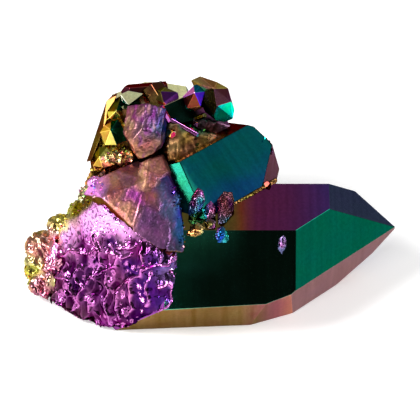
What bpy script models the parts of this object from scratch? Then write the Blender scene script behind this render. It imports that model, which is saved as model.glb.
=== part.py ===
"""Cluster of metal-coated quartz crystals, grown together as one solid.

A large six-sided point lies on one of its prism faces, with its axis along +X and its tip at +X.
A shorter point crosses over it, a third stands behind, and small ones crown the broken quartz that
they all grow from.  The origin is on the table, under the middle of the face that the cluster rests
on.  Metres, +Z up; the sizes below are in millimetres and are scaled once, when a mesh becomes an
object.
"""

from math import cos, pi, radians, sin

import bmesh
import bpy
from mathutils import Matrix, Vector, noise

MM = 0.001

# Quartz always keeps these angles: prism faces meet at 60 degrees, and a tip face leans 38.2 degrees
# off the prism face below it, so its normal has this much of the crystal's axis and this much of the
# face's own direction.
PRISM_STEP = pi / 3
TIP_ALONG = 0.618
TIP_OUT = 0.786

# Large point: distance from the line through its tip to each prism face, and how far outside the tip
# each tip face passes.  Both count from the front face, downwards and round.  The second prism face
# stays outside the steeper one that cuts under the front, so it never shows.
LARGE_TIP = (33.2, 6.2, 13.72)
LARGE_LENGTH = 58.0
LARGE_FRONT_LEAN = 30.0
LARGE_SIDES = (16.0, 22.0, 13.72, 7.6, 6.4, 10.65)
LARGE_TIP_GAPS = (0.0, 0.0, 3.6, 0.9, 0.0, 0.0)
LARGE_UNDER_FRONT = (0.049, -0.889, -0.457)
STEEP_FACE_CORNER = (7.0, -13.66, 11.4)
STEEP_FACE_NORMAL = (0.323, -0.811, -0.488)
BREAK_CORNER = (-10.6, -8.7, 20.6)
BREAK_NORMAL = (-0.733, -0.504, 0.458)

# Second point: lies across the large one, its axis level and swung towards the back, its broad face
# up and forward.  A bevel cuts its root; its normal leans out of the broad face, back along the axis
# and a little across.
SECOND_TIP = (10.2, 22.9, 14.4)
SECOND_SWING = 39.0
SECOND_LEAN = 60.0
SECOND_LENGTH = 33.0
SECOND_SIDES = (14.03, 10.8, 7.9, 8.1, 11.3, 14.3)
SECOND_TIP_GAPS = (7.1, 0.0, 0.0, 0.0, 0.0, 6.1)
SECOND_END_NORMAL = (0.679, 0.602, 0.420)
SECOND_BEVEL_AT = 27.2
SECOND_BEVEL_OUT = 0.52
SECOND_BEVEL_BACK = 0.84
SECOND_BEVEL_SIDE = 0.10

# Third crystal: stubby, stands behind the broken base and leans a little to the right and back.
THIRD_TIP = (-12.6, 21.0, 45.0)
THIRD_AXIS = (0.242, 0.165, 0.956)
THIRD_LEFT_FACE = (-1.0, -0.2, 0.0)
THIRD_SIDES = (7.6, 7.4, 7.9, 7.2, 7.6, 7.8)
THIRD_TIP_GAPS = (0.0, 0.8, 0.0, 0.6, 0.0, 0.5)
THIRD_LENGTH = 40.0
THIRD_TOP_NORMAL = (-0.10, 0.35, 0.93)
THIRD_TOP_AT = (-20.0, 20.0, 36.2)

# Small points: tip, axis, the way one prism face looks, half the width between faces, length, and how
# much of the sharp tip is missing.
SMALL_POINTS = {
    "summit_brown": ((-11.3, 13.8, 34.8), (0.50, -0.75, -0.43), (-0.4, -0.7, 0.6), 2.1, 8.6, 0.2),
    "summit_left": ((-21.9, 20.6, 36.9), (-0.96, -0.20, 0.06), (0.0, -0.70, 0.71), 1.35, 9.5, 0.2),
    "etched": ((-17.8, 4.0, 33.7), (-0.16, -0.88, -0.45), (0.35, -0.70, 0.70), 3.9, 10.6, 0.4),
    "rim_blade": ((-6.2, 12.5, 32.6), (0.80, -0.05, -0.56), (0.0, -0.70, 0.71), 0.55, 7.0, 0.0),
    "rim_blade_short": ((-11.8, 11.8, 36.5), (0.45, -0.20, -0.87), (0.0, -0.70, 0.71), 0.5, 4.2, 0.0),
    "recess_glint": ((-6.8, 15.0, 33.2), (0.1, -0.8, 0.6), (1.0, 0.0, 0.0), 0.55, 4.0, 0.3),
    "recess_gold": ((-4.6, 17.0, 34.3), (0.75, -0.25, 0.60), (0.0, -0.70, 0.71), 0.5, 5.5, 0.0),
    "recess_low": ((-11.5, 10.0, 36.0), (0.2, -0.5, 0.85), (0.5, -0.70, 0.2), 1.0, 5.5, 0.2),
    "gold_edge": ((-27.4, 10.3, 27.3), (-0.50, -0.55, 0.67), (0.6, -0.75, 0.1), 1.4, 6.0, 0.2),
    "gold_foot": ((-21.8, 7.2, 31.4), (0.10, -0.60, 0.79), (0.9, -0.30, 0.1), 1.0, 5.0, 0.1),
    "end_nub": ((7.9, 6.6, 25.4), (0.5, -0.3, 0.8), (0.8, -0.5, 0.0), 0.7, 2.6, 0.1),
    "back_large": ((-17.0, 34.0, 13.0), (0.05, 0.96, 0.16), (0.0, 0.3, 0.95), 4.4, 16.0, 0.4),
    "back_upper": ((-8.0, 30.6, 24.0), (0.28, 0.86, 0.42), (0.6, 0.1, 0.8), 3.2, 13.0, 0.2),
    "back_side": ((-25.4, 30.0, 9.0), (-0.38, 0.90, 0.10), (0.3, 0.1, 0.95), 2.9, 11.0, 0.2),
    "back_low": ((-5.0, 29.0, 7.4), (0.45, 0.86, -0.10), (0.1, 0.1, 0.95), 2.8, 12.0, 0.1),
    "back_high": ((-20.0, 29.0, 26.0), (-0.20, 0.84, 0.50), (0.3, 0.1, 0.95), 2.2, 9.0, 0.2),
    "left_side": ((-37.4, 13.4, 4.6), (-0.66, 0.74, -0.02), (0.3, 0.1, 0.95), 2.1, 8.0, 0.2),
}
SIDE_SPREAD = (1.0, 0.93, 1.06, 0.95, 1.08, 0.97)
TIP_SPREAD = (0.0, 0.26, 0.04, 0.30, 0.0, 0.22)

# Blocky crystals with few whole faces, because they grew against each other, given by their corners.
BLOCKY_POINTS = {
    "crown": (
        (-7.8, 20.7, 40.1), (-6.0, 20.9, 41.0), (-2.6, 19.6, 40.6), (-0.4, 19.5, 39.1),
        (-3.2, 16.6, 41.5), (-2.6, 15.0, 38.3), (0.2, 17.4, 37.4), (0.9, 18.1, 34.6),
        (0.6, 17.3, 32.9), (-1.0, 16.7, 32.5), (-2.8, 15.6, 33.9), (-3.3, 15.2, 35.6),
        (-6.8, 18.9, 38.8), (-3.6, 23.2, 36.9), (0.0, 20.9, 31.4), (-5.0, 19.4, 32.8),
        (-1.6, 19.7, 30.1),
    ),
    "crown_neighbour": (
        (-9.8, 17.8, 37.8), (-7.2, 19.1, 40.1), (-5.4, 20.1, 40.1), (-5.0, 17.6, 39.9),
        (-7.0, 16.8, 40.3), (-5.8, 16.3, 37.1), (-6.8, 16.3, 35.9), (-8.6, 16.2, 36.6),
        (-9.6, 16.8, 35.2), (-8.0, 22.4, 36.0), (-5.4, 20.0, 33.4), (-9.4, 19.7, 34.5),
    ),
    "summit_blue": (
        (-15.4, 19.2, 39.3), (-12.8, 19.0, 39.7), (-10.4, 18.5, 38.8), (-9.8, 16.7, 36.7),
        (-11.6, 15.2, 37.3), (-13.2, 14.8, 39.3), (-13.8, 17.2, 40.1), (-11.8, 15.4, 35.2),
        (-13.4, 14.8, 36.0), (-14.8, 16.7, 38.6), (-14.0, 21.7, 35.3), (-10.4, 21.1, 34.6),
        (-13.0, 19.0, 32.4),
    ),
    "shoulder": (
        (-28.6, 9.8, 28.0), (-28.0, 11.4, 29.9), (-26.8, 13.5, 32.7), (-25.6, 15.8, 35.1),
        (-24.6, 17.7, 37.2), (-23.6, 18.4, 37.9), (-22.4, 20.0, 37.5), (-27.6, 9.2, 29.0),
        (-26.6, 10.6, 30.9), (-25.2, 13.0, 34.1), (-24.2, 16.9, 36.8), (-22.6, 18.2, 38.2),
        (-27.0, 14.9, 24.0), (-24.0, 20.9, 33.9),
    ),
    "sage_step": (
        (-21.8, 17.6, 39.1), (-20.2, 18.1, 39.6), (-17.2, 17.0, 39.8), (-19.2, 15.7, 38.9),
        (-20.2, 14.9, 38.6), (-21.4, 16.2, 38.4), (-20.0, 20.0, 36.0), (-18.6, 19.6, 35.0),
        (-20.6, 17.4, 35.0),
    ),
    "gold_upper": (
        (-24.6, 16.1, 35.9), (-23.4, 18.0, 37.1), (-21.8, 19.0, 37.5), (-20.4, 18.0, 37.1),
        (-20.8, 15.0, 36.9), (-21.8, 13.0, 37.4), (-22.6, 13.1, 38.6), (-24.0, 13.4, 36.5),
        (-24.6, 14.2, 35.2), (-21.4, 13.0, 35.4), (-23.0, 20.4, 33.8), (-21.0, 18.6, 31.9),
    ),
    "gold_middle": (
        (-25.9, 12.9, 33.1), (-25.0, 13.5, 34.5), (-23.6, 12.8, 35.9), (-22.2, 12.8, 36.8),
        (-21.2, 11.5, 35.7), (-20.4, 9.8, 33.6), (-22.4, 8.7, 33.5), (-23.6, 10.1, 36.3),
        (-24.8, 10.0, 32.3), (-25.8, 12.1, 31.4), (-23.6, 17.3, 30.4), (-22.0, 15.4, 28.4),
    ),
    "gold_lower": (
        (-27.4, 11.4, 29.3), (-26.0, 10.7, 31.4), (-24.4, 9.0, 32.6), (-23.2, 7.7, 32.2),
        (-22.8, 6.4, 30.4), (-25.2, 6.7, 29.3), (-27.2, 8.8, 27.9), (-26.0, 7.3, 31.5),
        (-25.2, 13.2, 26.0),
    ),
    "corner_oval": (
        (-6.4, 1.4, 28.9), (-7.6, 0.0, 27.9), (-8.4, -1.7, 26.2), (-8.2, -2.6, 24.9),
        (-7.0, -3.2, 24.3), (-5.8, -2.2, 25.6), (-4.9, -0.3, 27.1), (-5.4, 1.1, 28.3),
        (-6.6, -2.0, 27.9), (-6.8, -3.1, 26.4), (-6.8, 3.6, 24.5), (-7.6, 0.9, 21.6),
        (-5.4, 2.3, 23.1),
    ),
    "corner_blade": (
        (-2.6, -0.4, 27.2), (-1.3, 1.0, 28.2), (0.4, 1.5, 27.5), (0.8, 0.6, 26.3),
        (0.7, -0.9, 24.9), (-0.6, -4.1, 23.8), (-2.4, -4.8, 23.9), (-1.6, -2.1, 27.4),
        (-0.8, 3.6, 24.5), (-2.0, -0.9, 21.1), (0.4, 1.7, 22.5),
    ),
    "corner_foot": (
        (-3.0, -5.6, 24.3), (-1.6, -5.4, 24.8), (-0.2, -5.4, 23.9), (0.0, -6.6, 22.9),
        (-0.8, -7.8, 22.5), (-2.4, -7.9, 22.7), (-3.0, -6.9, 23.4), (-1.6, -7.4, 24.4),
        (-1.6, -3.5, 21.3), (-2.4, -5.3, 20.8), (-0.4, -5.0, 21.1),
    ),
    "corner_wedge": (
        (-5.0, -1.1, 26.2), (-3.8, -0.1, 26.7), (-2.8, -1.4, 26.2), (-3.0, -3.3, 25.3),
        (-4.6, -3.8, 25.1), (-4.0, -2.8, 26.7), (-4.0, 1.7, 23.9), (-3.8, 0.0, 22.1),
    ),
    "corner_spike": (
        (-9.4, -5.8, 23.5), (-8.0, -5.0, 24.3), (-6.6, -4.2, 24.9), (-4.8, -5.3, 24.3),
        (-5.4, -6.7, 24.0), (-7.0, -7.3, 23.6), (-8.6, -6.8, 23.6), (-7.0, -6.6, 25.0),
        (-7.0, -2.2, 21.2), (-5.4, -3.1, 21.7),
    ),
    "corner_bits": (
        (-5.2, -3.8, 25.1), (-4.0, -3.9, 25.5), (-2.8, -4.3, 25.1), (-3.0, -5.8, 24.5),
        (-4.4, -5.9, 24.6), (-4.0, -5.5, 25.6), (-4.0, -1.6, 21.8),
    ),
    "contact_rim": (
        (0.6, 0.2, 24.3), (4.0, 3.0, 24.3), (7.2, 5.8, 24.3), (9.4, 7.8, 24.3),
        (0.6, 1.4, 25.0), (4.0, 4.2, 25.0), (9.4, 8.8, 25.0), (0.8, 2.6, 24.0),
        (9.0, 9.6, 24.0), (5.6, 5.2, 25.1),
    ),
    "front_chip": (
        (9.2, -8.1, 21.2), (9.6, -7.0, 23.0), (10.4, -6.5, 23.6), (11.0, -7.1, 22.9),
        (10.9, -8.1, 21.3), (10.1, -8.7, 20.2), (9.9, -8.2, 22.4), (10.3, -8.4, 21.4),
        (10.2, -4.0, 20.0),
    ),
}

# Broken quartz, as blocks given by their corners.  The break runs across the root of the large point:
# its right edge crosses the front face, its lower edge runs down the face below, and its top ends
# under the ledge.
BREAK_BLOCK = (
    (-9.8, -8.4, 20.7), (-13.8, -9.0, 21.9), (-19.2, -6.4, 24.4), (-25.0, -2.2, 28.1),
    (-34.2, 4.2, 16.4), (-11.0, -12.4, 14.4), (-12.0, -14.5, 10.7), (-16.2, -13.2, 8.0),
    (-20.8, -11.2, 1.6), (-26.0, -9.6, 0.6), (-31.0, -7.5, 1.0), (-36.6, -4.2, 2.4),
    (-24.0, -7.6, 13.3), (-33.0, -0.4, 10.8), (-7.5, -4.0, 14.0), (-8.5, -6.0, 6.0),
    (-9.0, 12.0, 3.0), (-9.0, 12.0, 22.0), (-25.0, 14.0, 27.0), (-33.0, 17.0, 3.0),
    (-37.5, 10.0, 4.0), (-33.0, 12.0, 10.0),
)
LEFT_SLAB = (
    (-25.2, -2.6, 29.8), (-20.0, -5.6, 27.9), (-19.0, -7.4, 25.7), (-16.2, 0.5, 31.7),
    (-22.4, 4.5, 30.6), (-27.4, 3.6, 28.6), (-29.0, 4.0, 24.6), (-18.0, 8.0, 30.0),
    (-26.0, 8.0, 22.0), (-20.0, 2.0, 20.0),
)
RIGHT_SLAB = (
    (-16.2, 5.0, 33.4), (-13.6, 6.6, 32.5), (-12.8, 3.6, 31.2), (-10.2, -1.6, 28.7),
    (-9.2, -6.4, 25.7), (-9.3, -9.4, 21.7), (-13.8, -10.2, 22.9), (-18.4, -8.6, 25.2),
    (-16.6, 0.0, 31.6), (-17.8, 5.0, 32.4), (-9.5, 6.0, 22.0), (-18.0, 8.0, 22.0),
    (-14.0, -3.0, 18.0), (-13.2, 9.0, 31.0),
)
RECESS_WALL = (
    (-12.4, 11.6, 36.8), (-11.0, 12.2, 36.4), (-6.6, 12.6, 32.8), (-1.8, 14.8, 30.6),
    (-12.6, 14.4, 36.2), (-6.2, 14.4, 32.6), (-1.6, 16.2, 29.8), (-13.0, 8.5, 31.5),
    (-10.8, 9.6, 30.2), (-0.6, 15.0, 28.5), (-14.0, 14.0, 27.0), (-2.0, 17.0, 26.0),
)
BACK_BLOCK = (
    (-27.0, 10.5, 28.6), (-23.0, 12.0, 34.2), (-17.0, 12.6, 36.8), (-12.0, 16.2, 36.0),
    (-21.0, 20.0, 36.0), (-4.0, 21.0, 31.7), (0.0, 19.8, 29.0), (-1.0, 24.0, 27.7),
    (-8.0, 24.0, 34.0), (-14.0, 27.0, 28.0), (-2.0, 17.5, 26.0), (0.5, 22.0, 19.0),
    (-4.0, 23.0, 6.0), (-20.0, 27.0, 6.0), (-31.0, 20.0, 4.0), (-29.6, 12.0, 18.0),
    (-27.0, 20.0, 20.0), (-21.0, 25.5, 25.0), (-10.0, 12.0, 20.0),
)
LEFT_END_BLOCK = (
    (-41.0, 3.5, 7.6), (-40.0, -0.4, 2.6), (-36.6, -3.8, 2.4), (-33.0, -1.0, 11.0),
    (-35.4, 4.4, 13.4), (-38.2, 8.6, 8.6), (-36.0, 9.0, 3.0), (-39.4, 6.0, 2.4),
)
LEFT_END_LUMPS = {
    "copper": ((-37.6, 5.4, 8.6), (3.9, 3.6, 3.9)),
    "copper_high": ((-34.0, 6.6, 13.0), (3.0, 3.0, 2.5)),
    "olive": ((-39.6, 3.2, 5.6), (1.9, 2.4, 3.6)),
    "lens": ((-35.8, -1.3, 5.6), (1.7, 1.8, 3.0)),
    "plum": ((-38.4, 0.2, 3.4), (2.3, 2.6, 2.2)),
    "crust": ((-31.0, 8.0, 15.6), (2.6, 3.6, 3.0)),
    "crust_high": ((-28.4, 7.6, 19.6), (2.0, 3.6, 3.2)),
    "pink_crust": ((-26.4, 3.8, 27.4), (1.9, 1.7, 1.9)),
}
# The blocks become one skin of this grain, which is worked into hollows and then thinned out.
VOXEL = 0.5
ROUGH_TRIANGLES = 5000
LOWEST_ROUGH = 0.35
# The break's hollows and ribs, and the chips of the older quartz round it.
SCOOP_SIZE = 4.2
SCOOP_DEPTH = 1.5
RIB_SIZE = 1.9
RIB_DEPTH = 0.8
CHIP_SIZE = 2.4
CHIP_DEPTH = 0.8
SLAB_CHIP_SHARE = 0.25
# Ribs are drawn out upwards by this share.  All three wander a little, the smaller ones less, and the
# skin stands out by SKIN before they are sunk into it.  The seed fixes which way they wander.
NOISE_SEED = 7
RIB_DRAW = 0.35
WANDER_SIZE = 4.0
WANDER = 1.2
SMALL_WANDER = 0.5
SKIN = 0.25
# The break ends below the ledge, given as (x, height), where it takes its full roughness over
# LEDGE_BLEND.  It fades out on faces that look back, and towards the back of the cluster.
LEDGE = ((-36.0, 14.0), (-25.0, 28.4), (-20.0, 26.8), (-14.0, 22.0), (-9.0, 20.8))
LEDGE_BLEND = 1.5
FRONT_GAIN = 2.0
FRONT_START = 0.2
FRONT_FADE = 0.1
SLABS_END_AT = 6.5


def direction(vector):
    return Vector(vector).normalized()


def clear_scene():
    for thing in list(bpy.data.objects):
        bpy.data.objects.remove(thing, do_unlink=True)


def new_collection(name):
    collection = bpy.data.collections.new(name)
    bpy.context.scene.collection.children.link(collection)
    return collection


def aura_coating():
    """Thin titanium film on quartz: opaque, mirror-like, purple to teal."""
    material = bpy.data.materials.new("aura_coating")
    material.use_nodes = True
    shader = material.node_tree.nodes["Principled BSDF"]
    shader.inputs["Base Color"].default_value = (0.30, 0.10, 0.42, 1.0)
    shader.inputs["Metallic"].default_value = 1.0
    shader.inputs["Roughness"].default_value = 0.2
    return material


def object_from(bm, name, collection):
    """Turns a mesh worked out in millimetres into an object in metres."""
    bmesh.ops.scale(bm, vec=(MM, MM, MM), verts=bm.verts)
    bmesh.ops.recalc_face_normals(bm, faces=bm.faces)
    mesh = bpy.data.meshes.new(name)
    bm.to_mesh(mesh)
    bm.free()
    solid = bpy.data.objects.new(name, mesh)
    collection.objects.link(solid)
    return solid


def cut_block(planes, reach=200.0):
    """A cube cut down by planes, each a point on a face and the way that the face looks."""
    bm = bmesh.new()
    bmesh.ops.create_cube(bm, size=reach)
    for point, normal in planes:
        geometry = bm.verts[:] + bm.edges[:] + bm.faces[:]
        bmesh.ops.bisect_plane(
            bm, geom=geometry, dist=1e-5, plane_co=point, plane_no=normal, clear_outer=True
        )
        open_edges = [edge for edge in bm.edges if edge.is_boundary]
        if open_edges:
            bmesh.ops.holes_fill(bm, edges=open_edges, sides=0)
    bmesh.ops.remove_doubles(bm, verts=bm.verts, dist=1e-4)
    return bm


def crystal_planes(tip, axis, first_side, sides, tip_gaps, length):
    """The faces of a quartz point: six along the axis, six at the tip, and one across the root."""
    tip = Vector(tip)
    axis = direction(axis)
    first_side = Vector(first_side)
    first_side = (first_side - axis * axis.dot(first_side)).normalized()
    planes = [(tip - axis * length, -axis)]
    for k, (distance, gap) in enumerate(zip(sides, tip_gaps)):
        side = Matrix.Rotation(k * PRISM_STEP, 3, axis) @ first_side
        planes.append((tip + side * distance, side))
        slope = (axis * TIP_ALONG + side * TIP_OUT).normalized()
        planes.append((tip + slope * gap, slope))
    return planes


def large_point(collection):
    lean = radians(LARGE_FRONT_LEAN)
    front = (0.0, -cos(lean), sin(lean))
    planes = crystal_planes(LARGE_TIP, (1, 0, 0), front, LARGE_SIDES, LARGE_TIP_GAPS, LARGE_LENGTH)
    under_front = direction(LARGE_UNDER_FRONT)
    planes.append((STEEP_FACE_CORNER, under_front))
    planes.append((STEEP_FACE_CORNER, direction(STEEP_FACE_NORMAL)))
    planes.append((BREAK_CORNER, direction(BREAK_NORMAL)))
    return object_from(cut_block(planes), "large_point", collection)


def second_point(collection):
    swing = radians(SECOND_SWING)
    lean = radians(SECOND_LEAN)
    axis = Vector((cos(swing), sin(swing), 0.0))
    across = Vector((sin(swing), -cos(swing), 0.0))
    broad = across * cos(lean) + Vector((0, 0, sin(lean)))
    planes = crystal_planes(SECOND_TIP, axis, broad, SECOND_SIDES, SECOND_TIP_GAPS, SECOND_LENGTH)
    planes.append((SECOND_TIP, direction(SECOND_END_NORMAL)))
    corner = Vector(SECOND_TIP) - axis * SECOND_BEVEL_AT + broad * SECOND_SIDES[0]
    bevel = broad * SECOND_BEVEL_OUT - axis * SECOND_BEVEL_BACK + across * SECOND_BEVEL_SIDE
    planes.append((corner, direction(bevel)))
    return object_from(cut_block(planes), "second_point", collection)


def third_crystal(collection):
    planes = crystal_planes(
        THIRD_TIP, THIRD_AXIS, THIRD_LEFT_FACE, THIRD_SIDES, THIRD_TIP_GAPS, THIRD_LENGTH
    )
    planes.append((THIRD_TOP_AT, direction(THIRD_TOP_NORMAL)))
    return object_from(cut_block(planes), "third_crystal", collection)


def small_point(name, tip, axis, facing, half_width, length, missing_tip, collection):
    sides = [half_width * spread for spread in SIDE_SPREAD]
    gaps = [half_width * spread for spread in TIP_SPREAD]
    planes = crystal_planes(tip, axis, facing, sides, gaps, length)
    if missing_tip:
        planes.append((Vector(tip) - direction(axis) * missing_tip, direction(axis)))
    return object_from(cut_block(planes), name, collection)


def add_hull(bm, corners):
    points = [bm.verts.new(corner) for corner in corners]
    hull = bmesh.ops.convex_hull(bm, input=points)
    left_over = dict.fromkeys(hull["geom_interior"] + hull["geom_unused"])
    unused = [item for item in left_over if isinstance(item, bmesh.types.BMVert)]
    bmesh.ops.delete(bm, geom=unused, context="VERTS")


def blocky_point(name, corners, collection):
    bm = bmesh.new()
    add_hull(bm, corners)
    return object_from(bm, name, collection)


def add_lump(bm, centre, half_sizes):
    lump = bmesh.ops.create_icosphere(bm, subdivisions=2, radius=1.0)
    place = Matrix.Translation(centre) @ Matrix.Diagonal((*half_sizes, 1.0))
    bmesh.ops.transform(bm, matrix=place, verts=lump["verts"])


def clamped(share):
    return min(max(share, 0.0), 1.0)


def ledge_height(x):
    """Height of the ledge that overhangs the fresh break, for a place along the cluster."""
    if x <= LEDGE[0][0]:
        return LEDGE[0][1]
    for (x0, z0), (x1, z1) in zip(LEDGE, LEDGE[1:]):
        if x <= x1:
            return z0 + (z1 - z0) * (x - x0) / (x1 - x0)
    return LEDGE[-1][1]


def scoops(point, size):
    """0 on the sharp ridges between shell-shaped hollows, 1 at the bottom of a hollow."""
    distances = noise.voronoi(point / size)[0]
    return 1.0 - distances[0] / max(distances[1], 1e-6)


def break_share(point, normal):
    """1 on the fresh break, which looks forward below the ledge, and 0 on the older quartz round it."""
    below = clamped((ledge_height(point.x) - point.z) / LEDGE_BLEND)
    forward = clamped(FRONT_START - normal.y * FRONT_GAIN - point.y * FRONT_FADE)
    return below * forward


def roughen(mesh):
    """Works hollows, ribs and chips into the broken quartz, along its normals."""
    noise.seed_set(NOISE_SEED)
    moved = []
    for vertex in mesh.vertices:
        point = vertex.co / MM
        warp = noise.noise_vector(point / WANDER_SIZE) * WANDER
        drawn_out = Vector((point.x, point.y, point.z * RIB_DRAW)) + warp * SMALL_WANDER
        hollow = scoops(point + warp, SCOOP_SIZE) * SCOOP_DEPTH
        rib = scoops(drawn_out, RIB_SIZE) * RIB_DEPTH
        chip = scoops(point + warp * SMALL_WANDER, CHIP_SIZE) * CHIP_DEPTH
        on_break = break_share(point, vertex.normal)
        if point.z > ledge_height(point.x) + LEDGE_BLEND and point.y < SLABS_END_AT:
            chip *= SLAB_CHIP_SHARE
        depth = on_break * (hollow + rib) + (1.0 - on_break) * chip
        place = point - vertex.normal * (depth - SKIN)
        place.z = max(place.z, LOWEST_ROUGH)
        moved.append(place * MM)
    for vertex, place in zip(mesh.vertices, moved):
        vertex.co = place


def evaluated_copy(solid):
    depsgraph = bpy.context.evaluated_depsgraph_get()
    return bpy.data.meshes.new_from_object(solid.evaluated_get(depsgraph))


def remesh(solid, voxel):
    modifier = solid.modifiers.new("voxels", "REMESH")
    modifier.mode = "VOXEL"
    modifier.voxel_size = voxel * MM
    solid.data = evaluated_copy(solid)
    solid.modifiers.clear()


def broken_quartz(collection):
    bm = bmesh.new()
    for corners in (BREAK_BLOCK, LEFT_SLAB, RIGHT_SLAB, RECESS_WALL, BACK_BLOCK, LEFT_END_BLOCK):
        add_hull(bm, corners)
    for centre, half_sizes in LEFT_END_LUMPS.values():
        add_lump(bm, centre, half_sizes)
    rock = object_from(bm, "quartz_cluster", collection)
    remesh(rock, VOXEL)
    roughen(rock.data)
    remesh(rock, VOXEL)
    rock.data.calc_loop_triangles()
    fewer = rock.modifiers.new("fewer_triangles", "DECIMATE")
    fewer.ratio = ROUGH_TRIANGLES / len(rock.data.loop_triangles)
    fewer.use_collapse_triangulate = True
    rock.data = evaluated_copy(rock)
    rock.modifiers.clear()
    return rock


def keep_outer_shell(solid):
    """Drops loose crumbs and the skins of pockets sealed between crystals."""
    bm = bmesh.new()
    bm.from_mesh(solid.data)
    unseen = set(bm.verts)
    shells = []
    while unseen:
        shell = set()
        edge_of_search = {unseen.pop()}
        while edge_of_search:
            shell |= edge_of_search
            reached = {e.other_vert(v) for v in edge_of_search for e in v.link_edges}
            edge_of_search = reached - shell
        unseen -= shell
        shells.append(shell)
    shells.sort(key=len)
    for shell in shells[:-1]:
        bmesh.ops.delete(bm, geom=list(shell), context="VERTS")
    bm.to_mesh(solid.data)
    bm.free()


def build():
    clear_scene()
    parts = new_collection("aura_quartz_cluster")
    joined_shapes = new_collection("shapes_joined_in")
    cluster = broken_quartz(parts)
    crystals = [large_point(joined_shapes), second_point(joined_shapes), third_crystal(joined_shapes)]
    for name, sizes in SMALL_POINTS.items():
        crystals.append(small_point(name, *sizes, joined_shapes))
    for name, corners in BLOCKY_POINTS.items():
        crystals.append(blocky_point(name, corners, joined_shapes))
    for crystal in crystals:
        crystal.hide_render = True
        crystal.display_type = "WIRE"
        join = cluster.modifiers.new("join_" + crystal.name, "BOOLEAN")
        join.operation = "UNION"
        join.solver = "EXACT"
        join.object = crystal
    cluster.data = evaluated_copy(cluster)
    cluster.modifiers.clear()
    keep_outer_shell(cluster)
    cluster.data.materials.clear()
    cluster.data.materials.append(aura_coating())


build()
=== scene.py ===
from math import cos, exp, hypot, pi, radians, sin

import bmesh
import bpy
from mathutils import Matrix, Vector, noise


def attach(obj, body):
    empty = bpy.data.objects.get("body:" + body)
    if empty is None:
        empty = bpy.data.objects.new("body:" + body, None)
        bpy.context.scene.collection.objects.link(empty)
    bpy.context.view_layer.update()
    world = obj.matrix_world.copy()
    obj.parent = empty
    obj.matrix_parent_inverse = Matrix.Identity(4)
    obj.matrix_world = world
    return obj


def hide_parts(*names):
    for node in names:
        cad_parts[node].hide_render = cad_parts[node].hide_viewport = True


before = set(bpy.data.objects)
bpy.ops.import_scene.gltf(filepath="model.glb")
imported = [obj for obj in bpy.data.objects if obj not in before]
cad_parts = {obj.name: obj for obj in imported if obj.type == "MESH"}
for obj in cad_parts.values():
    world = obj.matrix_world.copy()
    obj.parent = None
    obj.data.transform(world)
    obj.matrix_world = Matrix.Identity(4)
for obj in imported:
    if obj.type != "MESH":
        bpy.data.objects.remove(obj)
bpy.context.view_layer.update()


# The large point: the main crystal, a six-sided quartz prism that lies on one of its faces, its tip at +X.
# Clear quartz, grown as one crystal.  In the vacuum chamber each face took a titanium film of its own
# thickness, and so a colour of its own.  It grows out of the broken base and is joined to it at its root.

# Sizes and places are in millimetres here, and metres in the finished meshes.
MM = 0.001
LARGE_TIP = Vector((33.2, 6.2, 13.72))
LARGE_LENGTH = 58.0
# How high its broad front face looks.  Then how far each side lies from the middle line, and how far each
# tip face lies out from the tip.
LARGE_FRONT_LEAN = radians(30.0)
LARGE_SIDES = (16.0, 22.0, 13.72, 7.6, 6.4, 10.65)
LARGE_TIP_GAPS = (0.0, 0.0, 3.6, 0.9, 0.0, 0.0)
# Three more faces: where a corner of each is, and the way it looks.
STEEP_CORNER = (7.0, -13.66, 11.4)
LARGE_EXTRA_FACES = (
    ("under front", STEEP_CORNER, (0.049, -0.889, -0.457)),
    ("steep", STEEP_CORNER, (0.323, -0.811, -0.488)),
    ("break", (-10.6, -8.7, 20.6), (-0.733, -0.504, 0.458)),
)
# How wide its worn edges are, and how far apart the cuts are that let a face's colour change.
LARGE_WEAR = 0.12
LARGE_CUTS = 1.5

# Quartz angles: prism faces turn by 60 degrees, and a tip face leans 38.2 degrees off the prism face below.
PRISM_STEP = pi / 3
TIP_ALONG = 0.618
TIP_OUT = 0.786

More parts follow.
